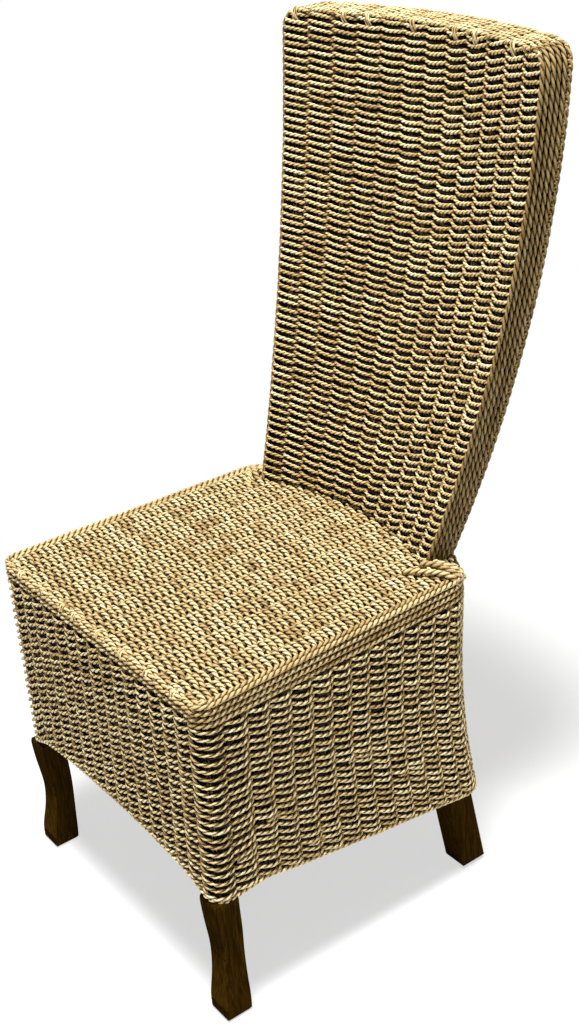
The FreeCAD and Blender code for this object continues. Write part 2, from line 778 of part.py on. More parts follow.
def front_fall(radius_y, radius_z):
    """Quarter turn over the seat's front edge, from its foot to its top."""
    return [Vector(0, seat_edge_radius - radius_y * math.cos(a), lip_base + radius_z * math.sin(a))
            for a in spread(0, math.pi / 2, corner_facets + 1)]


outer_fall = front_fall(seat_edge_radius, seat_edge_radius)
inner_fall = front_fall(seat_edge_radius - skirt_weave_thickness, seat_edge_radius - seat_weave_thickness)
profile = outer_fall + [Vector(0, far, seat_height), Vector(0, far, seat_panel_base)]
sheet = prism(profile + inner_fall[::-1], Vector(seat_front_width, 0, 0))
sheet.translate(Vector(-seat_front_width / 2, 0, 0))
seat_plan = Plan(seat_height, 0)
low_wire = seat_plan.wire()
low_wire.translate(Vector(0, 0, lip_base - overrun / 2 - seat_height))
seat_prism = Part.Face(low_wire).extrude(Vector(0, 0, overrun * 2))
seat_weave = sheet.common(seat_prism).cut(back_body)


def border_zone():
    """Space along the right edge of the seat that the border ropes fill."""
    start = seat_plan.front_y()
    end = seat_plan.on_rear_corner(-seat_plan.lean).y
    line = seat_plan.side_x
    base = side_skirt_top
    points = [Vector(line(start) - border_inset, start, base), Vector(line(start) + overrun, start, base),
              Vector(line(end) + overrun, end, base), Vector(line(end) - border_inset, end, base)]
    return prism(points, Vector(0, 0, overrun * 2))


right_border_zone = border_zone()
seat_weave = seat_weave.cut(right_border_zone).cut(mirrored(right_border_zone))
pieces["seat_weave"] = seat_weave
for name in ("front_right_leg", "front_left_leg"):
    pieces[name] = pieces[name].cut(seat_weave)


# Border ropes: two on top of the seat's edge and three down its side
def border_ropes():
    start = seat_plan.front_y() + border_rope_radius
    end = seat_plan.on_rear_corner(-seat_plan.lean).y - clearance
    line = seat_plan.side_x
    step = border_rope_diameter
    places = [(step * 1.5, seat_height - border_rope_radius), (step * 0.5, seat_height - border_rope_radius)]
    places += [(step * 0.5, seat_height - border_rope_radius - step * (k + 1))
               for k in range(border_side_ropes)]
    radius = (border_rope_diameter - clearance) / 2
    ropes = []
    for offset, level in places:
        first = Vector(line(start) - offset, start, level)
        last = Vector(line(end) - offset, end, level)
        ropes.append(tube([first, last], radius))
    return group(ropes)


pair("seat_border_ropes", border_ropes())


# Lashing ropes over the ledge between the foot of the back and the seat's rear corner
def lashing():
    r = lashing_rope_diameter / 2
    ropes = []
    corner = seat_plan.on_rear_corner((seat_plan.rear_turn - seat_plan.lean) / 2)
    for index in range(lashing_rope_count):
        start = Vector(back_half_width(seat_height + r) + r + clearance,
                       back_edge_depth(seat_height) + r + lashing_rope_diameter * index,
                       seat_height + r + clearance)
        end = Vector(corner.x - r, corner.y - r - lashing_rope_diameter * (lashing_rope_count - index - 1),
                     seat_height + r + clearance)
        ropes.append(tube([start, end], (lashing_rope_diameter - clearance) / 2))
    return group(ropes)


pair("back_lashing", lashing())

# Skirt weaves: one flared shell, parted at its corners, with the hem cut to its line
shell_base = hem_rear_height
skirt = plan_loft(shell_base, seat_panel_base, 0).cut(plan_loft(shell_base, seat_panel_base,
                                                                skirt_weave_thickness))
front_x = seat_front_width / 2
rear_x = seat_rear_width / 2 + skirt_rear_flare
rear_y = waist_depth + hem_rear_kick
deep = front_corner_radius * 3
wedge_base = shell_base - overrun
wedge_rise = Vector(0, 0, seat_height + overrun)


def at(x, y):
    return Vector(x, y, wedge_base)


front_wedge = prism([at(-front_x - deep, -deep), at(front_x + deep, -deep),
                     at(front_x - deep, deep), at(deep - front_x, deep)], wedge_rise)
side_wedge = prism([at(front_x + deep, -deep), at(rear_x + deep, rear_y + deep),
                    at(rear_x - deep, rear_y - deep), at(front_x - deep, deep)], wedge_rise)
rear_wedge = prism([at(rear_x + deep, rear_y + deep), at(rear_x - deep, rear_y - deep),
                    at(deep - rear_x, rear_y - deep), at(-rear_x - deep, rear_y + deep)], wedge_rise)


def hem_cut(height, half):
    """Space under an arched hem, seen from the front."""
    lift = hem_rope_diameter + clearance
    arch = [Vector(x, 0, height(x) + lift) for x in spread(-half, half, bow_facets + 1)]
    low = Vector(0, 0, -seat_height)
    tool = prism(arch + [arch[-1] + low, arch[0] + low], Vector(0, seat_side_depth * 2, 0))
    tool.translate(Vector(0, -seat_side_depth / 2, 0))
    return tool


def side_hem_cut():
    start, end = -overrun, seat_side_depth + overrun * 2
    lift = hem_rope_diameter + clearance
    points = [Vector(0, start, side_hem(start) + lift), Vector(0, end, side_hem(end) + lift),
              Vector(0, end, -seat_height), Vector(0, start, -seat_height)]
    return prism(points, Vector(seat_front_width, 0, 0))


def top_cut(level):
    return Part.makeBox(seat_front_width * 2, seat_side_depth * 2, overrun,
                        Vector(-seat_front_width, -seat_side_depth / 2, level))


front_panel = skirt.common(front_wedge).cut(top_cut(lip_base - clearance))
front_panel = front_panel.cut(hem_cut(front_hem, seat_front_width / 2 - skirt_front_taper))
front_panel = front_panel.cut(right_border_zone).cut(mirrored(right_border_zone))
pieces["front_skirt_weave"] = front_panel
side_panel = skirt.common(side_wedge).cut(side_hem_cut()).cut(right_border_zone)
pair("skirt_weave", side_panel)
rear_panel = skirt.common(rear_wedge).cut(hem_cut(rear_hem, seat_rear_width / 2 + skirt_rear_flare))
rear_panel = rear_panel.cut(right_border_zone).cut(mirrored(right_border_zone)).cut(back_body)
pieces["rear_skirt_weave"] = rear_panel


# Hem ropes under the lower edge of each skirt panel
def hem_rope(points):
    return tube(points, hem_rope_diameter / 2)


hem_inset = hem_rope_diameter / 2
join_turn = math.radians(2)
front_plan = Plan(hem_front_height, hem_inset)
turn = (-math.pi / 2 - front_plan.lean) / 2
straight = front_plan.front_centre.x
path = [Vector(straight * k / 4, front_plan.front_y(), 0) for k in range(-4, 5)]
path += [front_plan.on_front_corner(a) for a in ((turn - math.pi / 2) / 2, turn - join_turn)]
path = [Vector(-p.x, p.y, 0) for p in reversed(path[-2:])] + path
pieces["front_hem_rope"] = hem_rope([Vector(p.x, p.y, front_hem(p.x) + hem_inset) for p in path])


def right_hem_point(y):
    z = side_hem(y) + hem_inset
    return Vector(Plan(z, hem_inset).side_x(y), y, z)


rear_plan = Plan(hem_rear_height, hem_inset)
rear_turn = (rear_plan.rear_turn - rear_plan.lean) / 2
side_start = front_plan.front_centre.y
side_end = rear_plan.rear_centre.y
path = [front_plan.on_front_corner(a) for a in (turn + join_turn, (turn - front_plan.lean) / 2)]
path = [Vector(p.x, p.y, side_hem(p.y) + hem_inset) for p in path]
path += [right_hem_point(y) for y in spread(side_start, side_end, 4)]
for angle in ((rear_turn - rear_plan.lean) / 2, rear_turn - join_turn):
    p = rear_plan.on_rear_corner(angle)
    path.append(Vector(p.x, p.y, side_hem(p.y) + hem_inset))
pair("hem_rope", hem_rope(path))

half = [rear_plan.on_rear_corner(a) for a in (rear_turn + join_turn, (rear_turn + rear_plan.rear_turn) / 2)]
half += [rear_plan.on_rear(rear_plan.rear_turn + (math.pi / 2 - rear_plan.rear_turn) * k / 4)
         for k in range(5)]
path = half + [Vector(-p.x, p.y, p.z) for p in reversed(half[:-1])]
pieces["rear_hem_rope"] = hem_rope([Vector(p.x, p.y, rear_hem(p.x) + hem_inset) for p in path])

# Move the whole chair so that the origin is under the middle of its footprint box
box = FreeCAD.BoundBox()
for shape in pieces.values():
    box.add(shape.optimalBoundingBox(False, False))
shift = Vector(0, -(box.YMin + box.YMax) / 2, 0)
os.makedirs("parts", exist_ok=True)
for name, shape in sorted(pieces.items()):
    shape = shape.copy()
    shape.translate(shift)
    shape.exportStep("parts/" + name + ".step")
print("nodes", len(pieces), "shift along Y", round(shift.y, 3))
print("size", [round(v, 1) for v in (box.XLength, box.YLength, box.ZLength)], "lowest", round(box.ZMin, 3))
for name, shape in sorted(pieces.items()):
    print(name, "solids", len(shape.Solids), "valid", shape.isValid(), "volume", round(shape.Volume))
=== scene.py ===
# Tall-backed dining chair, woven in two-ply seagrass rope over a dark-stained wooden frame.
# Metres. The weave is drawn with y = 0 at the seat's front edge, then moved to the CAD's place.
import bpy
import bmesh
import json
import math
import numpy as np
from mathutils import Matrix, Vector


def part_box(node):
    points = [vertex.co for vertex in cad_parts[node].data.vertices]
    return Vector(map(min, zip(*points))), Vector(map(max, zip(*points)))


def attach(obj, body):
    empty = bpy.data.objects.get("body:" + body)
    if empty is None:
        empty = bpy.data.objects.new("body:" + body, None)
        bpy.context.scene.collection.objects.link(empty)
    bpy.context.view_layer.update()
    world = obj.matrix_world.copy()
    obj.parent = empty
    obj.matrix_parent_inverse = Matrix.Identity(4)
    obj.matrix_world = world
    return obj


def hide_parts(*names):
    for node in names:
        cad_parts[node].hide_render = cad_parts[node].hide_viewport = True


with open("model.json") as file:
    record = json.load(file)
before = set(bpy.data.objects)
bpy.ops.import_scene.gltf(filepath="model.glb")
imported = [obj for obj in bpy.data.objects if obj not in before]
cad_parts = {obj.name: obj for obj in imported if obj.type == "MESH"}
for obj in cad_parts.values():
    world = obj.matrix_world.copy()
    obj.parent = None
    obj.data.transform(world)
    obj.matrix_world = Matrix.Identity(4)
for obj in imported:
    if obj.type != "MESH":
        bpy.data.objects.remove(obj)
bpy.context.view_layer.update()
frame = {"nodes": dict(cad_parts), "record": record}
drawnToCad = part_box("seat_weave")[0].y
print("frame loaded, front edge at", round(drawnToCad, 4))

# Main sizes of the woven body, the same as the CAD's; flare and rake in degrees
seat = {"height": 0.466, "frontWidth": 0.480, "rearWidth": 0.456, "sideDepth": 0.413,
        "frontCorner": 0.024, "rearCorner": 0.045, "edgeRadius": 0.012, "rearRow": 0.442,
        "columns": 16, "borderInset": 0.0145}
skirt = {"frontHem": 0.187, "frontArch": 0.018, "rearHem": 0.128, "rearArch": 0.016,
         "frontLean": 0.006, "frontTaper": 0.007, "rearFlare": 0.007, "waist": 0.3448,
         "waistDepth": 0.408, "waistBow": 0.045, "rearKick": 0.026, "rearBow": 0.012}
back = {"top": 1.084, "baseWidth": 0.358, "topWidth": 0.486, "flare": 11.2, "setback": 0.379,
        "rakeDepth": 0.145, "rake": 21.4, "bow": 0.042, "thickness": 0.058, "corner": 0.027,
        "columns": 12}


# Shape of the back and of the seat and skirt, the same lines as the CAD solids

def backShare(z):
    return (z - seat["height"]) / (back["top"] - seat["height"])


def bend(share, slope, total):
    run = back["top"] - seat["height"]
    return slope * run * share * (1 - share) + total * share * share


def backHalfWidth(z):
    widening = (back["topWidth"] - back["baseWidth"]) / 2
    return back["baseWidth"] / 2 + bend(backShare(z), math.tan(math.radians(back["flare"])), widening)


def backDepth(x, z):
    half = backHalfWidth(z)
    radius = (half ** 2 + back["bow"] ** 2) / (2 * back["bow"])
    edge = back["setback"] + bend(backShare(z), math.tan(math.radians(back["rake"])), back["rakeDepth"])
    return edge + back["bow"] - radius + np.sqrt(radius ** 2 - x ** 2)


# Right half of the seat's outline at a height. q runs 0-1 along the front, 1-2 round the
# front corner, 2-3 along the side, 3-4 round the rear corner and 4-5 along the rear
def outlinePoint(q, z, inset):
    q, z, inset = np.broadcast_arrays(np.asarray(q, float), np.asarray(z, float), np.asarray(inset, float))
    drop = (seat["height"] - z) / (seat["height"] - skirt["frontHem"])
    low = (skirt["waist"] - z) / (skirt["waist"] - skirt["rearHem"])
    high = (z - skirt["waist"]) / (seat["height"] - skirt["waist"])
    topBow = back["setback"] + back["bow"] + back["thickness"] - seat["sideDepth"]
    below = z < skirt["waist"]
    corner = np.where(below, skirt["waistDepth"] + skirt["rearKick"] * low * low,
                      skirt["waistDepth"] + (seat["sideDepth"] - skirt["waistDepth"]) * high)
    bow = np.where(below, skirt["waistBow"] + (skirt["rearBow"] - skirt["waistBow"]) * low,
                   skirt["waistBow"] + (topBow - skirt["waistBow"]) * high)
    frontHalf = seat["frontWidth"] / 2 - skirt["frontTaper"] * drop
    rearHalf = seat["rearWidth"] / 2 + skirt["rearFlare"] * drop
    front = -skirt["frontLean"] * drop
    # centres of the two corners, the rear one where it touches the side and the bowed rear
    lean = np.arctan2(rearHalf - frontHalf, corner - front)
    sideX, sideY, outX, outY = np.sin(lean), np.cos(lean), np.cos(lean), -np.sin(lean)
    r = seat["frontCorner"]
    along = (front + r - (front - outY * r)) / sideY
    frontCx = frontHalf - outX * r + sideX * along
    frontCy = front - outY * r + sideY * along
    rearRadius = (rearHalf ** 2 + bow ** 2) / (2 * bow)
    rearMiddle = corner + bow - rearRadius
    r = seat["rearCorner"]
    baseX, baseY = frontHalf - outX * r, front - outY * r - rearMiddle
    half = baseX * sideX + baseY * sideY
    along = -half + np.sqrt(half ** 2 - baseX ** 2 - baseY ** 2 + (rearRadius - r) ** 2)
    rearCx, rearCy = baseX + sideX * along, baseY + rearMiddle + sideY * along
    turn = np.arctan2(rearCy - rearMiddle, rearCx)
    frontR, cornerR = seat["frontCorner"] - inset, seat["rearCorner"] - inset
    step = np.clip(q, 0, 5)
    angle = np.select([step < 2, step < 3, step < 4],
                      [-math.pi / 2 + (math.pi / 2 - lean) * np.clip(step - 1, 0, 1), -lean,
                       -lean + (turn + lean) * (step - 3)], turn + (math.pi / 2 - turn) * (step - 4))
    startX, startY = frontCx + frontR * np.cos(-lean), frontCy + frontR * np.sin(-lean)
    endX, endY = rearCx + cornerR * np.cos(-lean), rearCy + cornerR * np.sin(-lean)
    x = np.select([step < 1, step < 2, step < 3, step < 4],
                  [frontCx * step, frontCx + frontR * np.cos(angle), startX + (endX - startX) * (step - 2),
                   rearCx + cornerR * np.cos(angle)], (rearRadius - inset) * np.cos(angle))
    y = np.select([step < 1, step < 2, step < 3, step < 4],
                  [frontCy - frontR, frontCy + frontR * np.sin(angle), startY + (endY - startY) * (step - 2),
                   rearCy + cornerR * np.sin(angle)], rearMiddle + (rearRadius - inset) * np.sin(angle))
    return x, y


def frontHem(x):
    half = seat["frontWidth"] / 2 - skirt["frontTaper"]
    return skirt["frontHem"] + skirt["frontArch"] * (1 - (x / half) ** 2)


def rearHem(x):
    half = seat["rearWidth"] / 2 + skirt["rearFlare"]
    return skirt["rearHem"] + skirt["rearArch"] * (1 - (x / half) ** 2)


def sideHem(y):
    run = skirt["waistDepth"] + skirt["rearKick"] + skirt["frontLean"]
    return skirt["frontHem"] + (skirt["rearHem"] - skirt["frontHem"]) * (y + skirt["frontLean"]) / run


# Materials

def linear(code):
    parts = [int(code[i:i + 2], 16) / 255 for i in (1, 3, 5)]
    return tuple(p / 12.92 if p <= 0.04045 else ((p + 0.055) / 1.055) ** 2.4 for p in parts) + (1.0,)


# Adds a shader node with its settings, socket values and incoming links
def node(tree, kind, settings=None, values=None, links=None):
    made = tree.nodes.new(kind)
    for key, value in (settings or {}).items():
        setattr(made, key, value)
    for key, value in (values or {}).items():
        made.inputs[key].default_value = value
    for key, (source, output) in (links or {}).items():
        tree.links.new(source.outputs[output], made.inputs[key])
    return made


def newMaterial(name, roughness, specular):
    material = bpy.data.materials.new(name)
    material.use_nodes = True
    shader = material.node_tree.nodes["Principled BSDF"]
    shader.inputs["Roughness"].default_value = roughness
    shader.inputs["Specular IOR Level"].default_value = specular
    return material, material.node_tree, shader


def colourSteps(ramp, steps):
    elements = ramp.color_ramp.elements
    while len(elements) < len(steps):
        elements.new(0.5)
    for element, (position, code) in zip(elements, steps):
        element.position = position
        element.color = linear(code)


# Seagrass twisted into two-ply rope: dry blades from straw to cream, some bruised brown,
# with painted shade in the groove between the plies and more where a strand sinks behind its neighbours
seagrass, tree, shader = newMaterial("twistedSeagrass", 0.55, 0.25)
shader.inputs["IOR"].default_value = 1.46
tone = node(tree, "ShaderNodeAttribute", {"attribute_name": "strandTone"})
crestNode = node(tree, "ShaderNodeAttribute", {"attribute_name": "plyCrest"})
paintedSunkShadeNode = node(tree, "ShaderNodeAttribute", {"attribute_name": "sunkShare"})
straightNode = node(tree, "ShaderNodeAttribute", {"attribute_name": "straightened"})
stretched = node(tree, "ShaderNodeMapping", values={"Scale": (0.06, 1, 1)},
                 links={"Vector": (straightNode, "Vector")})
fibres = node(tree, "ShaderNodeTexNoise", values={"Scale": 900.0, "Detail": 3.0, "Roughness": 0.6},
              links={"Vector": (stretched, "Vector")})          # blades about 1 mm wide, drawn out along the rope
patches = node(tree, "ShaderNodeTexNoise", values={"Scale": 30.0, "Detail": 2.0},
               links={"Vector": (straightNode, "Vector")})      # stained lengths of about 30 mm
mixTone = node(tree, "ShaderNodeMath", {"operation": "MULTIPLY_ADD"}, {1: 0.5},
               {0: (fibres, "Fac"), 2: (tone, "Fac")})          # half the blades' contrast, and the strand's own tone
shift = node(tree, "ShaderNodeMath", {"operation": "MULTIPLY_ADD"}, {1: 0.42, 2: 0.0}, {0: (mixTone, "Value")})
total = node(tree, "ShaderNodeMath", {"operation": "MULTIPLY_ADD"}, {1: 0.55},
             {0: (patches, "Fac"), 2: (shift, "Value")})
blades = node(tree, "ShaderNodeValToRGB", links={"Fac": (total, "Value")})
colourSteps(blades, ((0.30, "#8f7548"), (0.44, "#b89f6c"), (0.56, "#d3be8d"), (0.70, "#e8d8aa"), (0.86, "#f6ebc8")))
# Painted shade: the colour is darkened in the grooves between the plies and on the sunk parts of each strand
paintedGrooveShadeRamp = node(tree, "ShaderNodeValToRGB", links={"Fac": (crestNode, "Fac")})
colourSteps(paintedGrooveShadeRamp, ((0.10, "#57401c"), (0.45, "#cdbb92"), (0.80, "#ffffff")))
paintedSunkShadeRamp = node(tree, "ShaderNodeValToRGB", links={"Fac": (paintedSunkShadeNode, "Fac")})
colourSteps(paintedSunkShadeRamp, ((0.10, "#ffffff"), (0.50, "#cfc2a8"), (0.72, "#62553f"), (1.0, "#2a2115")))
# on a colour Mix node, sockets 6 and 7 are the two colours and output 2 is the result
grooveShaded = node(tree, "ShaderNodeMix", {"data_type": "RGBA", "blend_type": "MULTIPLY"}, {0: 1.0},
               {6: (blades, "Color"), 7: (paintedGrooveShadeRamp, "Color")})
shaded = node(tree, "ShaderNodeMix", {"data_type": "RGBA", "blend_type": "MULTIPLY"}, {0: 1.0},
              {6: (grooveShaded, 2), 7: (paintedSunkShadeRamp, "Color")})
tree.links.new(shaded.outputs[2], shader.inputs["Base Color"])
raised = node(tree, "ShaderNodeBump", values={"Strength": 0.35, "Distance": 0.0006},
              links={"Height": (fibres, "Fac")})
tree.links.new(raised.outputs["Normal"], shader.inputs["Normal"])


# Noise on the piece, drawn out by stretch, that colours it through a few steps
def grainColour(tree, shader, stretch, noise, steps):
    place = node(tree, "ShaderNodeTexCoord")
    space = node(tree, "ShaderNodeMapping", values={"Scale": stretch}, links={"Vector": (place, "Object")})
    grain = node(tree, "ShaderNodeTexNoise", values=noise, links={"Vector": (space, "Vector")})
    stain = node(tree, "ShaderNodeValToRGB", links={"Fac": (grain, "Fac")})
    colourSteps(stain, steps)
    tree.links.new(stain.outputs["Color"], shader.inputs["Base Color"])
    return grain


# Near-black sheets behind the weave, seen only through its gaps: painted shade for the dark hollow inside the chair,
# with a noise of strands about 4 mm wide
shadeSheetMaterial, tree, shader = newMaterial("packedSeagrass", 0.9, 0.1)
grainColour(tree, shader, (1, 1, 1), {"Scale": 260.0, "Detail": 3.0}, ((0.35, "#0e0904"), (0.7, "#201608")))

# Hardwood under a dark brown spirit stain and a thin dull lacquer: the grain is drawn as fine
# dark lines along the leg, its pores about 2 mm apart
stainedWood, tree, shader = newMaterial("darkStainedHardwood", 0.6, 0.0)
shader.inputs["IOR"].default_value = 1.5
grain = grainColour(tree, shader, (1, 1, 0.07), {"Scale": 420.0, "Detail": 5.0, "Roughness": 0.6},
                    ((0.3, "#1b1002"), (0.5, "#2c1d05"), (0.72, "#3f2b07")))
pores = node(tree, "ShaderNodeBump", values={"Strength": 0.15, "Distance": 0.0005},
             links={"Height": (grain, "Fac")})
tree.links.new(pores.outputs["Normal"], shader.inputs["Normal"])

# Sawn hardwood of the hidden frame: unfinished, pale brown, with soft grain about 3 mm wide
frameWood, tree, shader = newMaterial("sawnHardwood", 0.75, 0.3)
grainColour(tree, shader, (0.15, 1, 1), {"Scale": 300.0, "Detail": 4.0},
            ((0.3, "#4b3520"), (0.5, "#5f4629"), (0.75, "#735635")))

# Peeled cane of the stakes, warps and hem rods: smooth, straw-brown, with faint streaks of 8 mm
cane, tree, shader = newMaterial("peeledCane", 0.6, 0.3)
grainColour(tree, shader, (1, 1, 1), {"Scale": 120.0, "Detail": 2.0}, ((0.3, "#4a381f"), (0.7, "#6d5531")))

# Zinc-plated steel screws, dull and slightly cloudy
zinc, tree, shader = newMaterial("zincPlatedSteel", 0.5, 0.5)
shader.inputs["Base Color"].default_value = linear("#9a9a96")
shader.inputs["Metallic"].default_value = 1.0
place = node(tree, "ShaderNodeTexCoord")
cloud = node(tree, "ShaderNodeTexNoise", values={"Scale": 400.0},
             links={"Vector": (place, "Object")})                # clouds about 2.5 mm wide
dull = node(tree, "ShaderNodeMapRange", values={"To Min": 0.35, "To Max": 0.6}, links={"Value": (cloud, "Fac")})
tree.links.new(dull.outputs["Result"], shader.inputs["Roughness"])

slotMaterials = {"stained_wood": stainedWood, "frame_wood": frameWood, "cane": cane, "steel": zinc,
                 "seagrass_weave": seagrass, "seagrass_rope": seagrass}
for part in frame["record"]["subparts"]:
    cadNode = frame["nodes"][part["node"]]
    cadNode.data.materials.clear()
    cadNode.data.materials.append(slotMaterials[part["material_slot"]])
print("materials made")


# Rope: a two-lobed section swept along each line, turned by the lay as it goes. It swells and
# thins a little along its length, and its tone drifts from one blade to the next
rope = {"groove": 0.56, "swell": 0.06, "swellLength": 0.031, "ripple": 0.04, "rippleLength": 0.011,
        "thinnerBehind": 0.14, "tone": 0.15, "toneSpread": 0.35, "toneDrift": 0.4,
        "driftLength": (0.03, 0.09), "step": 0.0029, "slack": 1.1}
sectionTurn = np.radians([-30, 30, 90, 150, 210, 270])
sectionReach = np.array([1, 1, rope["groove"]] * 2)
crest = np.array([1, 1, 0.0] * 2)                 # 1 on the two plies, 0 in the grooves between them
sectionSize = len(sectionTurn)
ropeSection = bpy.data.curves.new("ropeSection", "CURVE")
ropeSection.dimensions = "2D"
sectionSpline = ropeSection.splines.new("POLY")
sectionSpline.points.add(sectionSize - 1)
for point, turn, reach in zip(sectionSpline.points, sectionTurn, sectionReach):
    point.co = (reach * math.cos(turn), reach * math.sin(turn), 0, 1)
sectionSpline.use_cyclic_u = True
sectionObject = bpy.data.objects.new("ropeSection", ropeSection)
bpy.context.scene.collection.objects.link(sectionObject)


def placePiece(name, mesh, nodes, material):
    piece = bpy.data.objects.new(name, mesh)
    mesh.name = name
    bpy.context.scene.collection.objects.link(piece)
    mesh.materials.append(material)
    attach(piece, "root")
    if nodes:
        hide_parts(*nodes)
    print(name, len(mesh.polygons), "faces")


def runAlong(points):
    return np.concatenate([[0], np.cumsum(np.linalg.norm(np.diff(points, axis=0), axis=1))])


# One mesh piece from many rope lines. Each line is an (n, 4) array: the drawn place and how
# far the strand is sunk, from 0 in front to 1 behind, which thins it a little and sets its painted shade. A strand's
# random start along its lay also shifts its swelling and its tone, so that no two strands match
def layRope(name, lines, radius, layPitch, nodes=()):
    random = np.random.default_rng(len(name) * 7 + len(lines))
    curve = bpy.data.curves.new(name, "CURVE")
    curve.dimensions = "3D"
    curve.bevel_mode = "OBJECT"
    curve.bevel_object = sectionObject
    tone, straight, crests, sunk = [], [], [], []
    for line in lines:
        count = len(line)
        run = runAlong(line[:, :3])
        start = random.uniform(0, layPitch)
        tilt = -2 * math.pi * (run + start) / layPitch
        spline = curve.splines.new("POLY")
        spline.points.add(count - 1)
        placed = np.ones((count, 4))
        placed[:, :3] = line[:, :3]
        placed[:, 1] += drawnToCad
        spline.points.foreach_set("co", placed.ravel())
        spline.points.foreach_set("tilt", tilt)
        plump = 1 + rope["swell"] * np.sin(run / rope["swellLength"] + start * 900)
        plump = plump + rope["ripple"] * np.sin(run / rope["rippleLength"] + start * 500)
        spline.points.foreach_set("radius", radius * plump * (1 - rope["thinnerBehind"] * line[:, 3]))
        shade = random.uniform(0, 1)
        drift = 0.5 + 0.5 * np.sin(run / random.uniform(*rope["driftLength"]) + start * 700)
        tone.append(np.repeat(rope["tone"] + rope["toneSpread"] * shade + rope["toneDrift"] * drift, sectionSize))
        around = tilt[:, None] + sectionTurn[None, :]
        flat = np.stack([np.broadcast_to(run[:, None] + start * 40 + shade * 3, around.shape),
                         radius * np.cos(around), radius * np.sin(around)], axis=-1)
        straight.append(flat.reshape(-1, 3))
        crests.append(np.tile(crest, count))
        sunk.append(np.repeat(line[:, 3], sectionSize))
    curveObject = bpy.data.objects.new(name, curve)
    bpy.context.scene.collection.objects.link(curveObject)
    graph = bpy.context.evaluated_depsgraph_get()
    mesh = bpy.data.meshes.new_from_object(curveObject.evaluated_get(graph), depsgraph=graph)
    bpy.data.objects.remove(curveObject)
    for title, parts in (("strandTone", tone), ("plyCrest", crests), ("sunkShare", sunk)):
        mesh.attributes.new(title, "FLOAT", "POINT").data.foreach_set("value", np.concatenate(parts))
    mesh.attributes.new("straightened", "FLOAT_VECTOR", "POINT").data.foreach_set(
        "vector", np.concatenate(straight).ravel())
    work = bmesh.new()
    work.from_mesh(mesh)
    bmesh.ops.holes_fill(work, edges=[e for e in work.edges if e.is_boundary], sides=sectionSize)
    work.to_mesh(mesh)
    work.free()
    mesh.shade_smooth()
    placePiece(name, mesh, nodes, seagrass)


# Smooth random wander, one value for each whole step of t
def wander(random, t, size):
    knots = np.arange(math.floor(t.min()) - 1, math.ceil(t.max()) + 2)
    return np.interp(t, knots, random.uniform(-size, size, len(knots)))


# Floats, the stretches of strand that show: how high a strand lies over its row's middle line.
# A leaning one comes over high at its left and dives at its right. A hanging one is given by its
# heights along one turn of the strand, which repeats every two columns
floats = {"rise": 0.0017, "sinkWander": 0.04, "loose": 0.0009,
          "hangAt": (-0.5, -0.3, 0.0, 0.22, 0.36, 0.52, 0.8, 1.3, 1.5),
          "hang": (0.0034, 0.0014, -0.0016, -0.0031, -0.0019, 0.0018, 0.0030, 0.0036, 0.0034)}


def leaning(weave):
    def swing(t, strand):
        turn = math.pi * (t + strand)
        lean = -floats["rise"] * weave["lift"] * np.sin(turn) * np.abs(np.sin(turn)) ** weave["hook"]
        return lean + weave["crown"] * np.clip(np.cos(turn), 0, 1)
    return swing


def hanging(turn):
    return np.interp(np.mod(turn, 2) - 0.5, floats["hangAt"], floats["hang"])


# The two strands of one row. t counts columns, and each strand is in front over every other
# column, middle at a whole t. The smaller the dwell, the longer it stays in front; lift and hook
# set how high and how steeply it leans, and crown how much its middle rises
def twinedRow(random, t, place, swing, weave, loose=floats["loose"]):
    lines = []
    for strand in (0, 1):
        turn = math.pi * (t + strand)
        face = np.sign(np.cos(turn)) * np.abs(np.cos(turn)) ** weave["dwell"]
        # How far each part of a strand is sunk sets its depth and the painted shade that darkens it
        sunk = np.clip((1 - face) / 2 + wander(random, t, floats["sinkWander"]), 0, 1)
        up = swing(t, strand) + wander(random, t + strand * 0.5, loose)
        points = place(t, up, weave["frontDepth"] + (weave["rearDepth"] - weave["frontDepth"]) * sunk)
        lines.append(np.concatenate([points, sunk[:, None]], axis=1))
    return lines


# A line of rope with one sunk share for its whole length, which thins it a little and sets its painted shade
def plain(points, sunk=0.0):
    points = np.asarray(points, float)
    return np.concatenate([points, np.full((len(points), 1), sunk)], axis=1)


# Rounds off a few way points and returns places about one step apart
def evenSteps(points, step):
    points = np.asarray(points, float)
    run = runAlong(points)
    count = int(run[-1] / step) + 2
    even = np.linspace(0, run[-1], count)
    places = np.stack([np.interp(even, run, points[:, axis]) for axis in range(points.shape[1])], axis=1)
    for smoothing in range(3):
        places[1:-1] = (places[:-2] + places[1:-1] + places[2:]) / 3
    return places


# A column's place across a panel, from -1 at its left edge to 1 at its right
def acrossPanel(t, panel):
    return (t + 0.5) / panel["columns"] * 2 - 1


# Shade sheets: thin near-black sheets behind the rows, painted shade for the hollow inside the woven body, each shaped
# from a grid by a function of its two shares
shadeSheetThickness = 0.0006


def sheet(name, columns, rows, shape):
    work = bmesh.new()
    bmesh.ops.create_grid(work, x_segments=columns, y_segments=rows, size=0.5)
    shares = np.array([vert.co[:2] for vert in work.verts]) + 0.5
    for vert, place in zip(work.verts, shape(shares[:, 0], shares[:, 1])):
        vert.co = (place[0], place[1] + drawnToCad, place[2])
    bmesh.ops.recalc_face_normals(work, faces=work.faces)
    bmesh.ops.solidify(work, geom=work.faces[:], thickness=shadeSheetThickness)
    bmesh.ops.recalc_face_normals(work, faces=work.faces)
    mesh = bpy.data.meshes.new(name)
    work.to_mesh(mesh)
    work.free()
    mesh.shade_smooth()
    placePiece(name, mesh, [], shadeSheetMaterial)


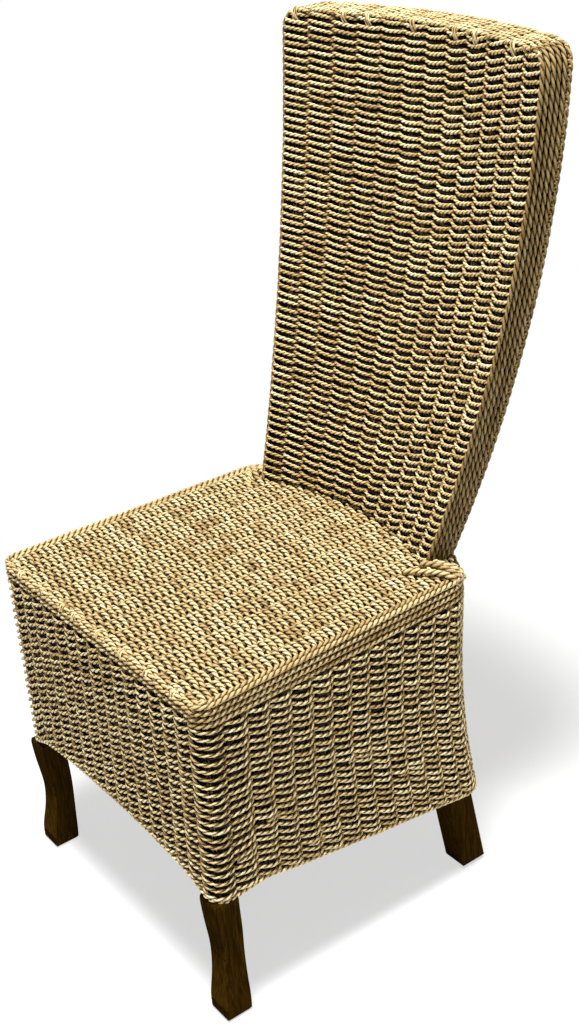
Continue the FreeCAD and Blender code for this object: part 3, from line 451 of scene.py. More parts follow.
# Back: rows across the hollow front, over the top edge and across the bowed rear. Towards its
# right the floats lean less and then hang from a curled left end
backWeave = {"rows": 64, "radius": 0.0025, "layPitch": 0.0150, "frontDepth": 0.0031, "rearDepth": 0.0080,
             "dwell": 0.5, "lift": 1.15, "hook": 0.5, "crown": 0, "hangFrom": 1.5, "hangOver": 7,
             "foot": 0.001, "topGap": 0.0042, "inset": 0.004, "tuck": 0.004, "tuckRun": 0.005}
backCornerZ = back["top"] - back["corner"]
backCornerX = float(backHalfWidth(backCornerZ)) - back["corner"]
backLean = leaning(backWeave)


# Half width of the back at a height, kept an inset inside the edge and its round corner
def backReach(z, inset):
    over = np.clip(z - backCornerZ, 0, back["corner"] - inset)
    cornerReach = backCornerX + np.sqrt(np.maximum((back["corner"] - inset) ** 2 - over ** 2, 0))
    return np.minimum(backHalfWidth(z) - inset, cornerReach)


# Points of a row on the front (side -1) or the rear (side 1) of the back
def backRow(side, z):
    def put(t, rise, depth):
        level = z + rise
        limit = backReach(level, backWeave["inset"])
        x = acrossPanel(t, back) * (backHalfWidth(level) - backWeave["inset"])
        tuck = np.clip((np.abs(x) - limit + backWeave["tuckRun"]) / backWeave["tuckRun"], 0, 1)
        depth = depth + backWeave["tuck"] * tuck
        x = np.clip(x, -limit, limit) * -side
        near = depth if side < 0 else back["thickness"] - depth
        return np.stack([x, backDepth(x, np.minimum(level, back["top"])) + near, level], axis=-1)
    return put


def backSwing(t, strand):
    share = np.clip((t - backWeave["hangFrom"]) / backWeave["hangOver"], 0, 1)
    return backLean(t, strand) * (1 - share) + hanging(0.5 - t - strand) * share


def backLines(side, levels, random):
    lines = []
    for z in levels:
        width = 2 * float(backHalfWidth(z))
        t = np.linspace(-0.5, back["columns"] - 0.5, int(width * rope["slack"] / rope["step"]))
        lines += twinedRow(random, t, backRow(side, z), backSwing, backWeave)
    return lines


backBase, backEnd = seat["height"] + backWeave["foot"], back["top"] - backWeave["topGap"]
backLevels = backBase + (backEnd - backBase) * (np.arange(backWeave["rows"]) + 0.5) / backWeave["rows"]
for name, side, cadName, seed in (("backFrontWeave", -1, "back_front_weave", 11),
                                  ("backRearWeave", 1, "back_rear_weave", 12)):
    random = np.random.default_rng(seed)
    for part, levels in zip(("Low", "Middle", "High"), np.array_split(backLevels, 3)):
        layRope(name + part, backLines(side, levels, random), backWeave["radius"], backWeave["layPitch"],
                [cadName] if part == "Low" else [])

# Rows laid over the top, in step with the columns of the front. Their ends dive at the corners
topWeave = {"rows": 6, "radius": 0.0027, "layPitch": 0.0150, "frontDepth": 0.0031, "rearDepth": 0.0080,
            "dwell": 0.55, "points": 150, "endColumn": 0.1, "spacedBelow": 0.008, "inset": 0.006,
            "reach": 0.004, "tuck": 0.004, "tuckFrom": 0.006, "tuckRun": 0.010}
topHalf = float(backHalfWidth(back["top"] - topWeave["spacedBelow"])) - topWeave["inset"]


def topRow(near):
    def put(t, rise, depth):
        reach = backCornerX + topWeave["reach"]
        x = np.clip(acrossPanel(t, back) * topHalf, -reach, reach)
        dive = np.clip((np.abs(x) - backCornerX + topWeave["tuckFrom"]) / topWeave["tuckRun"], 0, 1)
        z = back["top"] - depth - topWeave["tuck"] * dive
        return np.stack([x, backDepth(x, back["top"]) + near + rise, z], axis=-1)
    return put


random = np.random.default_rng(13)
lines = []
for index in range(topWeave["rows"]):
    t = np.linspace(topWeave["endColumn"], back["columns"] - 1 - topWeave["endColumn"], topWeave["points"])
    near = back["thickness"] / topWeave["rows"] * (index + 0.5)
    lines += twinedRow(random, t, topRow(near), backSwing, topWeave)
layRope("backTopWeave", lines, topWeave["radius"], topWeave["layPitch"])

# Ropes that run up each edge of the back, over its round corner and in under the top rows. Their sunk share darkens
# them with painted shade and thins them a little
edging = {"ropes": 6, "radius": 0.0031, "layPitch": 0.0250, "firstDepth": 0.0078, "pitch": 0.0087,
          "inset": 0.0046, "foot": 0.004, "endReach": (0.004, 0.008), "endDrop": (0.002, 0.006),
          "sunk": 0.58}


def edgeLine(index, sign):
    depth = edging["firstDepth"] + edging["pitch"] * index
    radius = back["corner"] - edging["inset"]
    z = np.linspace(seat["height"] - edging["foot"], backCornerZ, 190)
    x = backHalfWidth(z) - edging["inset"]
    turn = np.linspace(0, math.pi / 2, 14)[1:]
    ends = [back["top"] - edging["inset"] - drop for drop in edging["endDrop"]]
    x = np.concatenate([x, backCornerX + radius * np.cos(turn), [backCornerX - reach for reach in edging["endReach"]]])
    z = np.concatenate([z, backCornerZ + radius * np.sin(turn), ends])
    y = backDepth(x, np.minimum(z, back["top"])) + depth
    return plain(np.stack([x * sign, y, z], axis=-1), edging["sunk"])


layRope("backEdgeRopes", [edgeLine(i, sign) for sign in (1, -1) for i in range(edging["ropes"])],
        edging["radius"], edging["layPitch"], ["back_edge_ropes"])

backLining = {"depth": 0.0082, "inset": 0.0085, "sideInset": 0.0078, "sideDepth": 0.006}


# One painted-shade sheet up the front, over the top and down the rear
def backSheet(across, along):
    depth = backLining["depth"]
    rise = back["top"] - depth - seat["height"]
    over = back["thickness"] - 2 * depth
    run = along * (2 * rise + over)
    z = seat["height"] + np.clip(np.minimum(run, 2 * rise + over - run), 0, rise)
    near = depth + np.clip(run - rise, 0, over)
    x = (across * 2 - 1) * backReach(z, backLining["inset"])
    return np.stack([x, backDepth(x, z) + near, z], axis=-1)


def backSideSheet(sign):
    def shape(across, along):
        z = seat["height"] + (back["top"] - backLining["inset"] - seat["height"]) * along
        x = backReach(z, backLining["sideInset"])
        near = backLining["sideDepth"] + (back["thickness"] - 2 * backLining["sideDepth"]) * across
        return np.stack([x * sign, backDepth(x, z) + near, z], axis=-1)
    return shape


sheet("backLining", 40, 180, backSheet)
sheet("backRightLining", 6, 90, backSideSheet(1))
sheet("backLeftLining", 6, 90, backSideSheet(-1))
print("back woven")


# Seat: rows across the flat, over the front edge and down to the first row of the skirt. From
# cornerFrom to the rear they shorten with the seat's round rear corners
seatWeave = {"rowPitch": 0.0095, "radius": 0.0031, "layPitch": 0.019, "frontDepth": 0.0034, "rearDepth": 0.0088,
             "dwell": 0.42, "lift": 0.9, "hook": 1.0, "crown": 0.0017, "fall": 0.0135, "columnWidth": 0.0282,
             "cornerFrom": 0.36, "cornerInset": 0.006, "liningDepth": 0.0084, "liningInset": 0.012}
seatFlat = seat["rearRow"] - seat["edgeRadius"]
seatEnd = seatFlat + seat["edgeRadius"] * math.pi / 2 + seatWeave["fall"]
seatRows = round(seatEnd / seatWeave["rowPitch"])


def seatHalf(y):
    x, along = outlinePoint(np.linspace(2, 4.6, 80), seat["height"], 0.0)
    return np.interp(y, along, x)


# Place on the seat's surface by the distance from its rear row, sunk by a depth
def seatPoint(run, depth):
    radius = seat["edgeRadius"]
    turn = np.clip((run - seatFlat) / radius, 0, math.pi / 2)
    fall = np.clip(run - seatFlat - radius * math.pi / 2, 0, 1)
    y = np.where(run < seatFlat, seat["rearRow"] - run, radius - (radius - depth) * np.sin(turn))
    z = np.where(run < seatFlat, seat["height"] - depth,
                 seat["height"] - radius + (radius - depth) * np.cos(turn) - fall)
    return y, z


def seatAcross(t, y):
    widening = (seat["rearWidth"] - seat["frontWidth"]) / 2
    straight = seat["frontWidth"] / 2 + widening * np.clip(y, 0, 1) / seat["sideDepth"]
    return acrossPanel(t, seat) * (straight - seat["borderInset"])


def seatRow(run):
    def put(t, rise, depth):
        y, z = seatPoint(run - rise, depth)
        return np.stack([seatAcross(t, y), y, z], axis=-1)
    return put


random = np.random.default_rng(21)
seatSwing = leaning(seatWeave)
cornerHalf = seatHalf(seatWeave["cornerFrom"]) - seatWeave["cornerInset"]
lines = []
for row in range(seatRows):
    run = seatEnd * (row + 0.5) / seatRows
    y = seat["rearRow"] - run
    reach = 1.0 if y < seatWeave["cornerFrom"] else float((seatHalf(y) - seatWeave["cornerInset"]) / cornerHalf)
    trim = seat["columns"] * (1 - min(1.0, reach)) / 2
    steps = int((seat["columns"] - 2 * trim) * seatWeave["columnWidth"] * rope["slack"] / rope["step"])
    t = np.linspace(trim - 0.5, seat["columns"] - 0.5 - trim, steps)
    lines += twinedRow(random, t, seatRow(run), seatSwing, seatWeave)
halfCount = len(lines) // 2
layRope("seatWeaveRear", lines[:halfCount], seatWeave["radius"], seatWeave["layPitch"],
        ["seat_weave"])
layRope("seatWeaveFront", lines[halfCount:], seatWeave["radius"], seatWeave["layPitch"])


# A near-black painted-shade sheet under the seat's rows
def seatSheet(across, along):
    y, z = seatPoint(along * seatEnd, np.full(len(along), seatWeave["liningDepth"]))
    half = np.where(y > seatWeave["cornerFrom"], seatHalf(y) - seatWeave["liningInset"], 1)
    x = seatAcross(across * seat["columns"] - 0.5, y)
    return np.stack([np.clip(x, -half, half), y, z], axis=-1)


sheet("seatLining", 24, 80, seatSheet)
print("seat woven")


# Skirt: each row is a loop round the chair. u counts columns from the middle of the front, and
# grows to the viewer's right on every side, with column boundaries at the halves. Short rows are
# laid in after some full rows, where the skirt grows deeper towards the rear
skirtWeave = {"rows": 23, "pitch": 0.0101, "loop": 58, "frontColumn": 0.028, "cornerColumn": 0.052,
              "sideColumns": 12, "sidePitchFront": 0.033, "sidePitchRear": 0.024, "spacedAt": 0.32,
              "frontTop": 0.4402, "sideTop": 0.4324, "rearTop": 0.4630, "topTurn": (1.1, 2.1),
              "hemAt": 0.19, "hemRope": 0.0066, "frontDepth": 0.0028, "rearDepth": 0.0070, "dwell": 0.42,
              "loose": 0.0015, "mirroredHang": 1.35, "shortAfter": (18, 15, 20, 13, 17),
              "shortNeeds": 0.35, "shortStart": 0.82, "shortLoose": 0.0012, "dive": 0.002, "diveRun": 0.3,
              "liningDepth": 0.0092, "liningTop": 0.002, "liningFoot": 0.0015}
hemBumps = ((-0.010, 8.0, 1.1), (0.003, 10.0, 1.0))         # height, middle and width in columns
fine = np.linspace(0, 5, 501)
fineX, fineY = outlinePoint(fine, skirtWeave["spacedAt"], 0.0)
fineRun = np.concatenate([[0], np.cumsum(np.hypot(np.diff(fineX), np.diff(fineY)))])

# Where each column lies along the loop: the side's columns narrow steadily towards the rear
halfLoop = skirtWeave["loop"] / 2
frontColumns, cornerColumns = 7.5, 8.5            # where the front ends and where its corner ends
sideColumns = cornerColumns + skirtWeave["sideColumns"]
columnMarks = np.linspace(0, halfLoop, 581)
sideShare = np.clip((columnMarks - cornerColumns) / skirtWeave["sideColumns"], 0, 1)
narrowing = skirtWeave["sidePitchFront"] - skirtWeave["sidePitchRear"]
sideMean = skirtWeave["sidePitchFront"] * sideShare - narrowing * sideShare ** 2 / 2
frontRun = frontColumns * skirtWeave["frontColumn"]
cornerRun = frontRun + skirtWeave["cornerColumn"]
sideRun = cornerRun + skirtWeave["sideColumns"] * (skirtWeave["sidePitchFront"] + skirtWeave["sidePitchRear"]) / 2
rearPitch = (fineRun[-1] - sideRun) / (halfLoop - sideColumns)
columnRun = np.select([columnMarks < frontColumns, columnMarks < cornerColumns, columnMarks < sideColumns],
                      [columnMarks * skirtWeave["frontColumn"],
                       frontRun + (columnMarks - frontColumns) * skirtWeave["cornerColumn"],
                       cornerRun + skirtWeave["sideColumns"] * sideMean],
                      sideRun + (columnMarks - sideColumns) * rearPitch)


# Side of the chair (1 right, -1 left), columns from the front middle and outline place
def loopPlace(u):
    signed = np.mod(np.asarray(u, float) + halfLoop, skirtWeave["loop"]) - halfLoop
    count = np.abs(signed)
    run = np.interp(count, columnMarks, columnRun)
    return np.where(signed < 0, -1.0, 1.0), count, np.interp(run, fineRun, fine)


# Column counts from start to end at even steps along the loop
def evenColumns(start, end, step):
    marks = np.linspace(start, end, 800)
    run = np.interp(loopPlace(marks)[1], columnMarks, columnRun)
    length = np.concatenate([[0], np.cumsum(np.abs(np.diff(run)))])
    return np.interp(np.linspace(0, length[-1], int(length[-1] / step)), length, marks)


def skirtTop(count):
    begin, end = skirtWeave["topTurn"]
    return np.interp(count, [frontColumns, cornerColumns, sideColumns + begin, sideColumns + end],
                     [skirtWeave["frontTop"], skirtWeave["sideTop"], skirtWeave["sideTop"], skirtWeave["rearTop"]])


def skirtHem(count, q):
    x, y = outlinePoint(q, skirtWeave["hemAt"], 0.0)
    hem = np.where(q < 1.5, frontHem(x), np.where(q < 3.5, sideHem(y), rearHem(x)))
    for height, middle, width in hemBumps:
        hem = hem + height * np.exp(-((count - middle) / width) ** 2)
    return hem


# How many short rows the height below the seat has room for, beside the full ones
def extraRows(top, bottom, count):
    room = (top - bottom) / skirtWeave["pitch"] - skirtWeave["rows"] - skirtWeave["shortNeeds"]
    return np.clip(room, 0, len(skirtWeave["shortAfter"])) * np.clip(count - cornerColumns, 0, 1)


# Points of a full row (0 at the top), or of the short row laid in after a full row
def skirtRow(row, short=0, dive=0.0):
    def put(u, rise, depth):
        sign, count, q = loopPlace(u)
        top, bottom = skirtTop(count), skirtHem(count, q) + skirtWeave["hemRope"]
        extra = extraRows(top, bottom, count)
        share = row + 0.5 if not short else row + 1 + np.clip(extra - short + 1, 0, 1) / 2
        for number, after in enumerate(skirtWeave["shortAfter"]):
            if after < row:
                share = share + np.clip(extra - number, 0, 1)
        z = top - (top - bottom) * share / (skirtWeave["rows"] + extra) + rise
        x, y = outlinePoint(q, z, depth + dive)
        return np.stack([x * sign, y, z], axis=-1)
    return put


def shortStart(short):
    count, q = loopPlace(np.linspace(cornerColumns, sideColumns + 2, 400))[1:]
    extra = extraRows(skirtTop(count), skirtHem(count, q) + skirtWeave["hemRope"], count)
    return float(count[np.argmax(extra >= short - skirtWeave["shortStart"])])


# On the sides each float slopes down to its right and its end curls up steeply before it dives,
# and at the front and rear the other way round
def skirtSwing(t, strand):
    count = loopPlace(t)[1]
    mirrored = np.interp(count, [frontColumns, cornerColumns, sideColumns, sideColumns + 1], [1, 0, 0, 1])
    sloping = hanging(t + strand + 0.5)
    other = hanging(0.5 - t - strand) * skirtWeave["mirroredHang"]
    return sloping + (other - sloping) * mirrored


# A short row dives in where it starts, the same way on both sides of the chair
def skirtPiece(side, start, end):
    columns = evenColumns(start, end, rope["step"] / rope["slack"])
    lines = []
    for row in range(skirtWeave["rows"]):
        random = np.random.default_rng(100 + row)     # one seed a row
        lines += twinedRow(random, columns, skirtRow(row), skirtSwing, skirtWeave, skirtWeave["loose"])
    for short, after in enumerate(skirtWeave["shortAfter"], 1):
        random = np.random.default_rng(200 + short)
        first = shortStart(short)
        last = skirtWeave["loop"] - first
        inside = columns[(columns >= first - 0.01) & (columns <= last + 0.01)]
        if len(inside) < 8:                            # too short a stretch to show
            continue
        ends = np.minimum(inside - first, last - inside) / skirtWeave["diveRun"]
        dive = skirtWeave["dive"] * np.clip(1 - ends, 0, 1)
        lines += twinedRow(random, inside, skirtRow(after, short, dive), skirtSwing, skirtWeave,
                           skirtWeave["shortLoose"])
    radius, layPitch = skirtRopes[side]
    layRope(side + "SkirtWeave", lines, radius, layPitch, [side + "_skirt_weave"])


# Radius and lay of the rope, and first and last column, on each side of the skirt
skirtRopes = {"front": (0.00245, 0.0235), "right": (0.0027, 0.0195), "rear": (0.0030, 0.0195),
              "left": (0.0027, 0.0195)}
skirtSides = (("front", -cornerColumns, cornerColumns), ("right", cornerColumns, sideColumns),
              ("rear", sideColumns, skirtWeave["loop"] - sideColumns),
              ("left", skirtWeave["loop"] - sideColumns, skirtWeave["loop"] - cornerColumns))
for side, start, end in skirtSides:
    skirtPiece(side, start, end)


# The painted-shade sheet behind the skirt stops just short of a full loop, so that its two ends don't meet
def skirtSheet(across, along):
    sign, count, q = loopPlace((across - 0.5) * skirtWeave["loop"] * 0.9999)
    top, bottom = skirtTop(count) - skirtWeave["liningTop"], skirtHem(count, q) + skirtWeave["liningFoot"]
    z = bottom + (top - bottom) * along
    x, y = outlinePoint(q, z, skirtWeave["liningDepth"])
    return np.stack([x * sign, y, z], axis=-1)


sheet("skirtLining", 232, 24, skirtSheet)
print("skirt woven")


# Warps: doubled raw strands that the rows are twined round, seen between the floats and darkened with painted shade by
# their sunk share. At some columns they bulge out where they turn over the back's top edge and the seat's front edge
warp = {"radius": 0.0019, "halfGap": 0.0019, "layPitch": 0.03, "sunk": 0.62,
        "skirtDepth": 0.0062, "skirtPoints": 26,
        "backRadius": 0.0020, "backDepth": 0.0068, "backInset": 0.006, "backReach": 0.009, "backPoints": 60,
        "topHalfGap": 0.0021, "topStep": 0.002, "topColumns": (0, 2, 3, 5, 7, 8, 10),
        "topWay": ((0.0066, 0.022), (0.0022, 0.0155), (0.0004, 0.0105), (0.0006, 0.0045), (0.0032, 0.0010),
                   (0.0065, 0.0012), (0.0095, 0.0034), (0.0115, 0.0066)),          # behind the face, below the top
        "seatStart": 0.02, "seatDepth": 0.0066, "seatSunk": 0.55, "seatPoints": 60,
        "edgeRadius": 0.0023, "edgeLayPitch": 0.06, "edgeHalfGap": 0.09, "edgePoints": 24,
        "edgeRun": (-0.0085, 0.0095), "edgeBulge": 0.0050, "edgeColumns": (1, 3, 5, 6, 8, 10, 12, 14)}


def skirtWarp(u, offset):
    points, depth = warp["skirtPoints"], warp["skirtDepth"]
    sign, count, q = loopPlace(np.full(points, u))
    top, bottom = skirtTop(count), skirtHem(count, q)
    z = top - (top - bottom) * np.linspace(0, 1, points)
    x, y = outlinePoint(q, z, depth)
    nextX, nextY = outlinePoint(q + 0.001, z, depth)   # a small step on, for the outline's direction
    size = np.maximum(np.hypot(nextX - x, nextY - y), 1e-9)
    return plain(np.stack([(x + (nextX - x) / size * offset) * sign, y + (nextY - y) / size * offset, z],
                          axis=-1), warp["sunk"])


def backWarp(column, near, offset):
    z = np.linspace(seat["height"], back["top"] - topWeave["spacedBelow"], warp["backPoints"])
    reach = backReach(z, warp["backReach"])
    x = np.clip(acrossPanel(column, back) * (backHalfWidth(z) - warp["backInset"]) + offset, -reach, reach)
    return plain(np.stack([x, backDepth(x, z) + near, z], axis=-1), warp["sunk"])


def topWarp(column, offset):
    x = acrossPanel(column, back) * topHalf + offset
    face = float(backDepth(x, back["top"]))
    return plain(evenSteps([(x, face + near, back["top"] - drop) for near, drop in warp["topWay"]], warp["topStep"]))


def seatWarp(column, offset):
    points = warp["seatPoints"]
    y, z = seatPoint(np.linspace(warp["seatStart"], seatEnd, points), np.full(points, warp["seatDepth"]))
    x = seatAcross(np.full(points, float(column)), y) + offset
    return plain(np.stack([x, y, z], axis=-1), warp["seatSunk"])


def edgeWarp(column):
    points = warp["edgePoints"]
    run = seatFlat + seat["edgeRadius"] * math.pi / 4 + np.linspace(*warp["edgeRun"], points)
    depth = warp["seatDepth"] - warp["edgeBulge"] * np.sin(np.linspace(0, math.pi, points)) ** 0.6
    y, z = seatPoint(run, depth)
    return plain(np.stack([seatAcross(np.full(points, float(column)), y), y, z], axis=-1))


lines = [skirtWarp(float(u), side * warp["halfGap"]) for u in range(-28, 30) for side in (-1, 1)]
layRope("skirtWarps", lines, warp["radius"], warp["layPitch"])
lines = [backWarp(column, near, side * warp["halfGap"])
         for near in (warp["backDepth"], back["thickness"] - warp["backDepth"])
         for column in range(back["columns"]) for side in (-1, 1)]
lines += [topWarp(column, side * warp["topHalfGap"]) for column in warp["topColumns"] for side in (-1, 1)]
layRope("backWarps", lines, warp["backRadius"], warp["layPitch"])
lines = [seatWarp(column, side * warp["halfGap"]) for column in range(seat["columns"]) for side in (-1, 1)]
layRope("seatWarps", lines, warp["radius"], warp["layPitch"])
lines = [edgeWarp(column + side * warp["edgeHalfGap"]) for column in warp["edgeColumns"] for side in (-1, 1)]
layRope("seatEdgeWarps", lines, warp["edgeRadius"], warp["edgeLayPitch"])

# Border ropes along the seat's edge, tucked in at the front and bent round the front corner, a little darkened with
# painted shade.
# Each rope: its inset and its drop in pitches, and the outline place where it starts
border = {"pitch": 0.0084, "radius": 0.0035, "layPitch": 0.0185, "sunk": 0.32, "rearEnd": 3.95,
          "tuckRun": 0.16, "tuckIn": 0.009, "tuckDown": 0.006,
          "ropes": ((1.5, 0, 1.05), (0.5, 0, 0.95), (0.5, 1, 0.93), (0.5, 2, 0.91), (0.5, 3, 0.89))}


def borderLine(inset, drop, start):
    level = seat["height"] - border["pitch"] / 2 - border["pitch"] * drop
    q = np.concatenate([np.linspace(start, 2, 22), np.linspace(2, 3.0, 120)[1:],
                        np.linspace(3, border["rearEnd"], 18)[1:]])
    x, y = outlinePoint(q, level, border["pitch"] * inset)
    tuck = np.clip((start + border["tuckRun"] - q) / border["tuckRun"], 0, 1)
    z = np.full(len(q), level) - border["tuckDown"] * tuck ** 2
    return plain(np.stack([x, y + border["tuckIn"] * tuck, z], axis=-1), border["sunk"])


borders = [borderLine(*settings) for settings in border["ropes"]]
for side, sign in (("right", 1), ("left", -1)):
    layRope(side + "SeatBorderRopes", [line * (sign, 1, 1, 1) for line in borders], border["radius"],
            border["layPitch"], [side + "_seat_border_ropes"])

# Lashing along the foot of the back and out to the rear corner of the seat, three ropes by
# their way points. The left one lies lower
lashing = {"radius": 0.0038, "layPitch": 0.0185, "step": 0.0028, "sunk": 0.1,
           "sides": (("right", 1, 0), ("left", -1, 0.008)),
           "ropes": (((0.160, 0.366, 0.462), (0.168, 0.360, 0.4685), (0.178, 0.365, 0.4705),
                      (0.190, 0.3755, 0.471), (0.204, 0.386, 0.471), (0.216, 0.3915, 0.470),
                      (0.2235, 0.396, 0.466), (0.222, 0.403, 0.456)),
                     ((0.172, 0.386, 0.466), (0.179, 0.3815, 0.4755), (0.190, 0.3855, 0.4785),
                      (0.204, 0.3935, 0.4765), (0.215, 0.399, 0.472), (0.2205, 0.404, 0.466),
                      (0.218, 0.411, 0.456)),
                     ((0.176, 0.402, 0.468), (0.186, 0.397, 0.4745), (0.200, 0.402, 0.4745),
                      (0.211, 0.408, 0.470), (0.215, 0.415, 0.462), (0.210, 0.422, 0.452)))}
for side, sign, drop in lashing["sides"]:
    lines = [plain(evenSteps(way, lashing["step"]), lashing["sunk"]) * (sign, 1, 1, 1) - (0, 0, drop, 0)
             for way in lashing["ropes"]]
    layRope(side + "BackLashing", lines, lashing["radius"], lashing["layPitch"],
            [side + "_back_lashing"])

# Hem ropes: one twisted rope along the lower edge of each side of the skirt
hem = {"radius": 0.0034, "layPitch": 0.0175, "step": 0.0028, "lift": 0.0036, "inset": 0.0044}


def hemLine(start, end):
    sign, count, q = loopPlace(evenColumns(start, end, hem["step"]))
    z = skirtHem(count, q) + hem["lift"]
    x, y = outlinePoint(q, z, hem["inset"])
    return plain(np.stack([x * sign, y, z], axis=-1))


for side, start, end in skirtSides:
    layRope(side + "HemRope", [hemLine(start, end)], hem["radius"], hem["layPitch"],
            [side + "_hem_rope"])
bpy.data.objects.remove(sectionObject)
print("ropes laid")


# Front legs: square in section, drawn in at the knee and ankle and out again at the foot.
# Each station in mm: height, outer side, inner side, front, rear
leg = {"edgeRadius": 0.0013, "sharpAngle": 16, "smoothing": 14, "smoothFrom": 0.006, "smoothTo": 0.172,
       "stations": ((0, 232.5, 205, -4, 24), (1.5, 235.5, 202, -7, 27), (5, 237.5, 200, -9, 29),
                    (8, 237.5, 200, -9, 29), (24, 237, 199.5, -8.5, 29.5), (45, 233.5, 199, -3, 30),
                    (70, 230.5, 198, 1, 31), (100, 229, 197, 2.5, 32), (130, 231.5, 197.5, -1.5, 32),
                    (165, 233, 198, -4.5, 30), (177, 232, 197.5, -4.5, 31), (181, 225, 195, 2.6, 34),
                    (200, 223, 192, 5, 40), (300, 222, 190, 9, 47))}


def cornerKey(vert):
    return tuple(round(c, 7) for c in vert.co)


# The section is extruded from level to level, with close levels at the rounded foot and at the
# ankle's end. The new corners start where the old ones are, which tells which is which
def frontLeg(name, sign, cadName):
    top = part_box(cadName)[1].z
    stations = np.array(leg["stations"]) / 1000
    levels = np.concatenate([[0, 0.0015, 0.004], np.arange(0.008, 0.176, 0.004), [0.1775, 0.181],
                             np.arange(0.19, top, 0.02), [top]])
    shape = np.stack([np.interp(levels, stations[:, 0], stations[:, k]) for k in range(1, 5)], axis=1)
    body = (levels > leg["smoothFrom"]) & (levels < leg["smoothTo"])
    for smoothing in range(leg["smoothing"]):
        near = (np.roll(shape, 1, 0) + shape + np.roll(shape, -1, 0)) / 3
        shape[body] = near[body]
    work = bmesh.new()
    bmesh.ops.create_grid(work, x_segments=1, y_segments=1, size=0.5)
    face = work.faces[:][0]
    ring = sorted(work.verts, key=lambda vert: math.atan2(vert.co.y, vert.co.x))
    order = {}
    for z, (outer, inner, front, rear) in zip(levels, shape):
        if order:
            made = bmesh.ops.extrude_face_region(work, geom=[face])["geom"]
            face = [item for item in made if isinstance(item, bmesh.types.BMFace)][0]
            ring = sorted([item for item in made if isinstance(item, bmesh.types.BMVert)],
                          key=lambda vert: order[cornerKey(vert)])
        for vert, (x, y) in zip(ring, ((inner, front), (outer, front), (outer, rear), (inner, rear))):
            vert.co = (x * sign, y + drawnToCad, z)
        order = {cornerKey(vert): position for position, vert in enumerate(ring)}
    upright = [edge for edge in work.edges if abs(edge.verts[0].co.z - edge.verts[1].co.z) > 1e-5]
    bmesh.ops.bevel(work, geom=upright, offset=leg["edgeRadius"], segments=2, profile=0.5, affect="EDGES",
                    material=-1)
    bmesh.ops.recalc_face_normals(work, faces=work.faces)
    mesh = bpy.data.meshes.new(name)
    work.to_mesh(mesh)
    work.free()
    mesh.shade_smooth()
    mesh.set_sharp_from_angle(angle=math.radians(leg["sharpAngle"]))
    placePiece(name, mesh, [cadName], stainedWood)


frontLeg("frontRightLeg", 1, "front_right_leg")
frontLeg("frontLeftLeg", -1, "front_left_leg")
print("legs made")

# Stage: pale paper floor that runs to the horizon. Away from the chair it is lit from behind, and
# near it keeps a soft shadow
paperFloor = {"half": 12, "colour": "#f4f4f4", "shadowTo": 0.45, "plainFrom": 1.1, "nearGlow": 0.62}
floorWork = bmesh.new()
bmesh.ops.create_grid(floorWork, x_segments=1, y_segments=1, size=paperFloor["half"])
floorMesh = bpy.data.meshes.new("floor")
floorWork.to_mesh(floorMesh)
floorWork.free()
floor = bpy.data.objects.new("floor", floorMesh)
bpy.context.scene.collection.objects.link(floor)
paper, tree, shader = newMaterial("whitePaper", 0.9, 0.2)
shader.inputs["Base Color"].default_value = linear(paperFloor["colour"])
floorMesh.materials.append(paper)


# One for the rays that the camera, a gloss or a clear surface looks along
def seenByEye(tree):
    ray = node(tree, "ShaderNodeLightPath")
    either = node(tree, "ShaderNodeMath", {"operation": "MAXIMUM"},
                  links={0: (ray, "Is Camera Ray"), 1: (ray, "Is Glossy Ray")})
    return node(tree, "ShaderNodeMath", {"operation": "MAXIMUM"},
                links={0: (either, "Value"), 1: (ray, "Is Transmission Ray")})


seen = seenByEye(tree)
place = node(tree, "ShaderNodeTexCoord")
distance = node(tree, "ShaderNodeVectorMath", {"operation": "LENGTH"}, links={0: (place, "Object")})
away = node(tree, "ShaderNodeMapRange", {"interpolation_type": "SMOOTHSTEP"},
            {"From Min": paperFloor["shadowTo"], "From Max": paperFloor["plainFrom"],
             "To Min": paperFloor["nearGlow"], "To Max": 1.0}, {"Value": (distance, "Value")})
share = node(tree, "ShaderNodeMath", {"operation": "MULTIPLY"}, links={0: (seen, "Value"), 1: (away, "Result")})
glow = node(tree, "ShaderNodeEmission", values={"Color": (1, 1, 1, 1), "Strength": 1.0})
paperMix = node(tree, "ShaderNodeMixShader",
                links={0: (share, "Value"), 1: (shader, "BSDF"), 2: (glow, "Emission")})
tree.links.new(paperMix.outputs["Shader"], tree.nodes["Material Output"].inputs["Surface"])

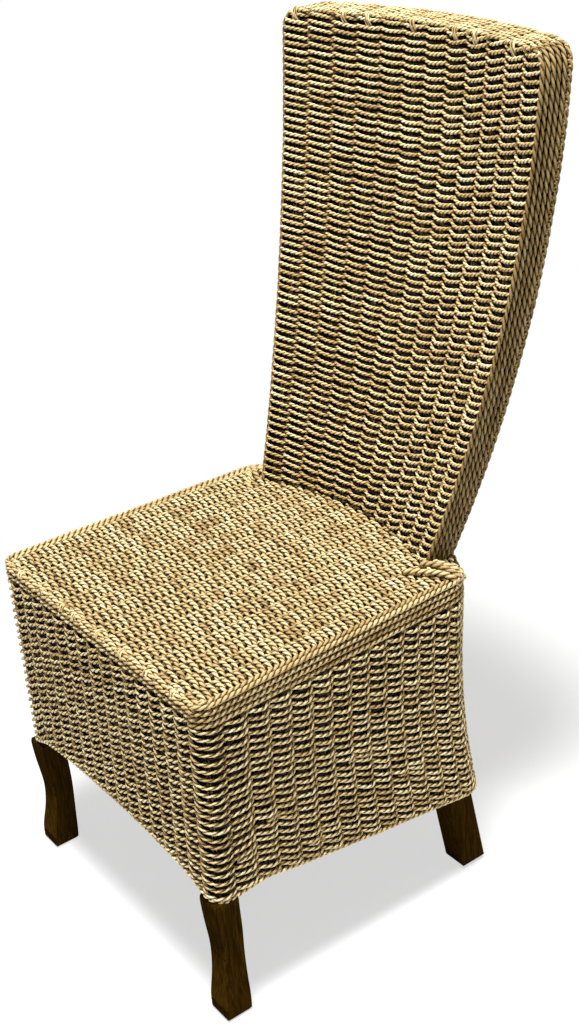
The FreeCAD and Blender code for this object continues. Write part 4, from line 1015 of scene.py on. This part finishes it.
# Light: a dim white room, one soft box high over the front right and a weak one beside the camera
light = {"room": 0.13, "target": (0, 0, 0.5),
         "boxes": (("keyBox", (0.70, -0.74, 5.5), (1.0, 1.0), 485), ("fillBox", (1.9, -1.3, 1.2), (1.2, 1.2), 4))}
world = bpy.data.worlds.new("softRoom")
bpy.context.scene.world = world
world.use_nodes = True
tree = world.node_tree
ambient = tree.nodes["Background"]
ambient.inputs["Color"].default_value = (1, 1, 1, 1)
ambient.inputs["Strength"].default_value = light["room"]
bright = node(tree, "ShaderNodeBackground", values={"Color": (1, 1, 1, 1), "Strength": 1.0})
seen = seenByEye(tree)
mixed = node(tree, "ShaderNodeMixShader",
             links={0: (seen, "Value"), 1: (ambient, "Background"), 2: (bright, "Background")})
tree.links.new(mixed.outputs["Shader"], tree.nodes["World Output"].inputs["Surface"])
for name, place, size, power in light["boxes"]:
    lamp = bpy.data.lights.new(name, "AREA")
    lamp.shape = "RECTANGLE"
    lamp.size, lamp.size_y = size
    lamp.energy = power
    made = bpy.data.objects.new(name, lamp)
    bpy.context.scene.collection.objects.link(made)
    made.location = place
    made.rotation_euler = (Vector(light["target"]) - Vector(place)).to_track_quat("-Z", "Y").to_euler()

# The photograph's camera, placed in the drawn frame; angles in degrees, the lens in mm
view = {"azimuth": 55.82, "elevation": 27.92, "roll": -5.02, "lens": 54.8, "sensor": 36,
        "place": (1.47836, -0.69384, 1.45407)}
azimuth, elevation, roll = (math.radians(view[key]) for key in ("azimuth", "elevation", "roll"))
towards = Vector((math.sin(azimuth) * math.cos(elevation), -math.cos(azimuth) * math.cos(elevation),
                  math.sin(elevation)))
camera = bpy.data.objects.new("camera", bpy.data.cameras.new("camera"))
bpy.context.scene.collection.objects.link(camera)
camera.data.lens = view["lens"]
camera.data.sensor_width = view["sensor"]
camera.data.clip_start = 0.05
level = Vector((0, 0, 1)).cross(towards).normalized()
upright = towards.cross(level)
right = level * math.cos(roll) + upright * math.sin(roll)
up = upright * math.cos(roll) - level * math.sin(roll)
camera.matrix_world = Matrix((right, up, towards)).transposed().to_4x4()
x, y, z = view["place"]
camera.location = (x, y + drawnToCad, z)
bpy.context.scene.camera = camera
bpy.context.scene.view_settings.view_transform = "Standard"
print("stage set")
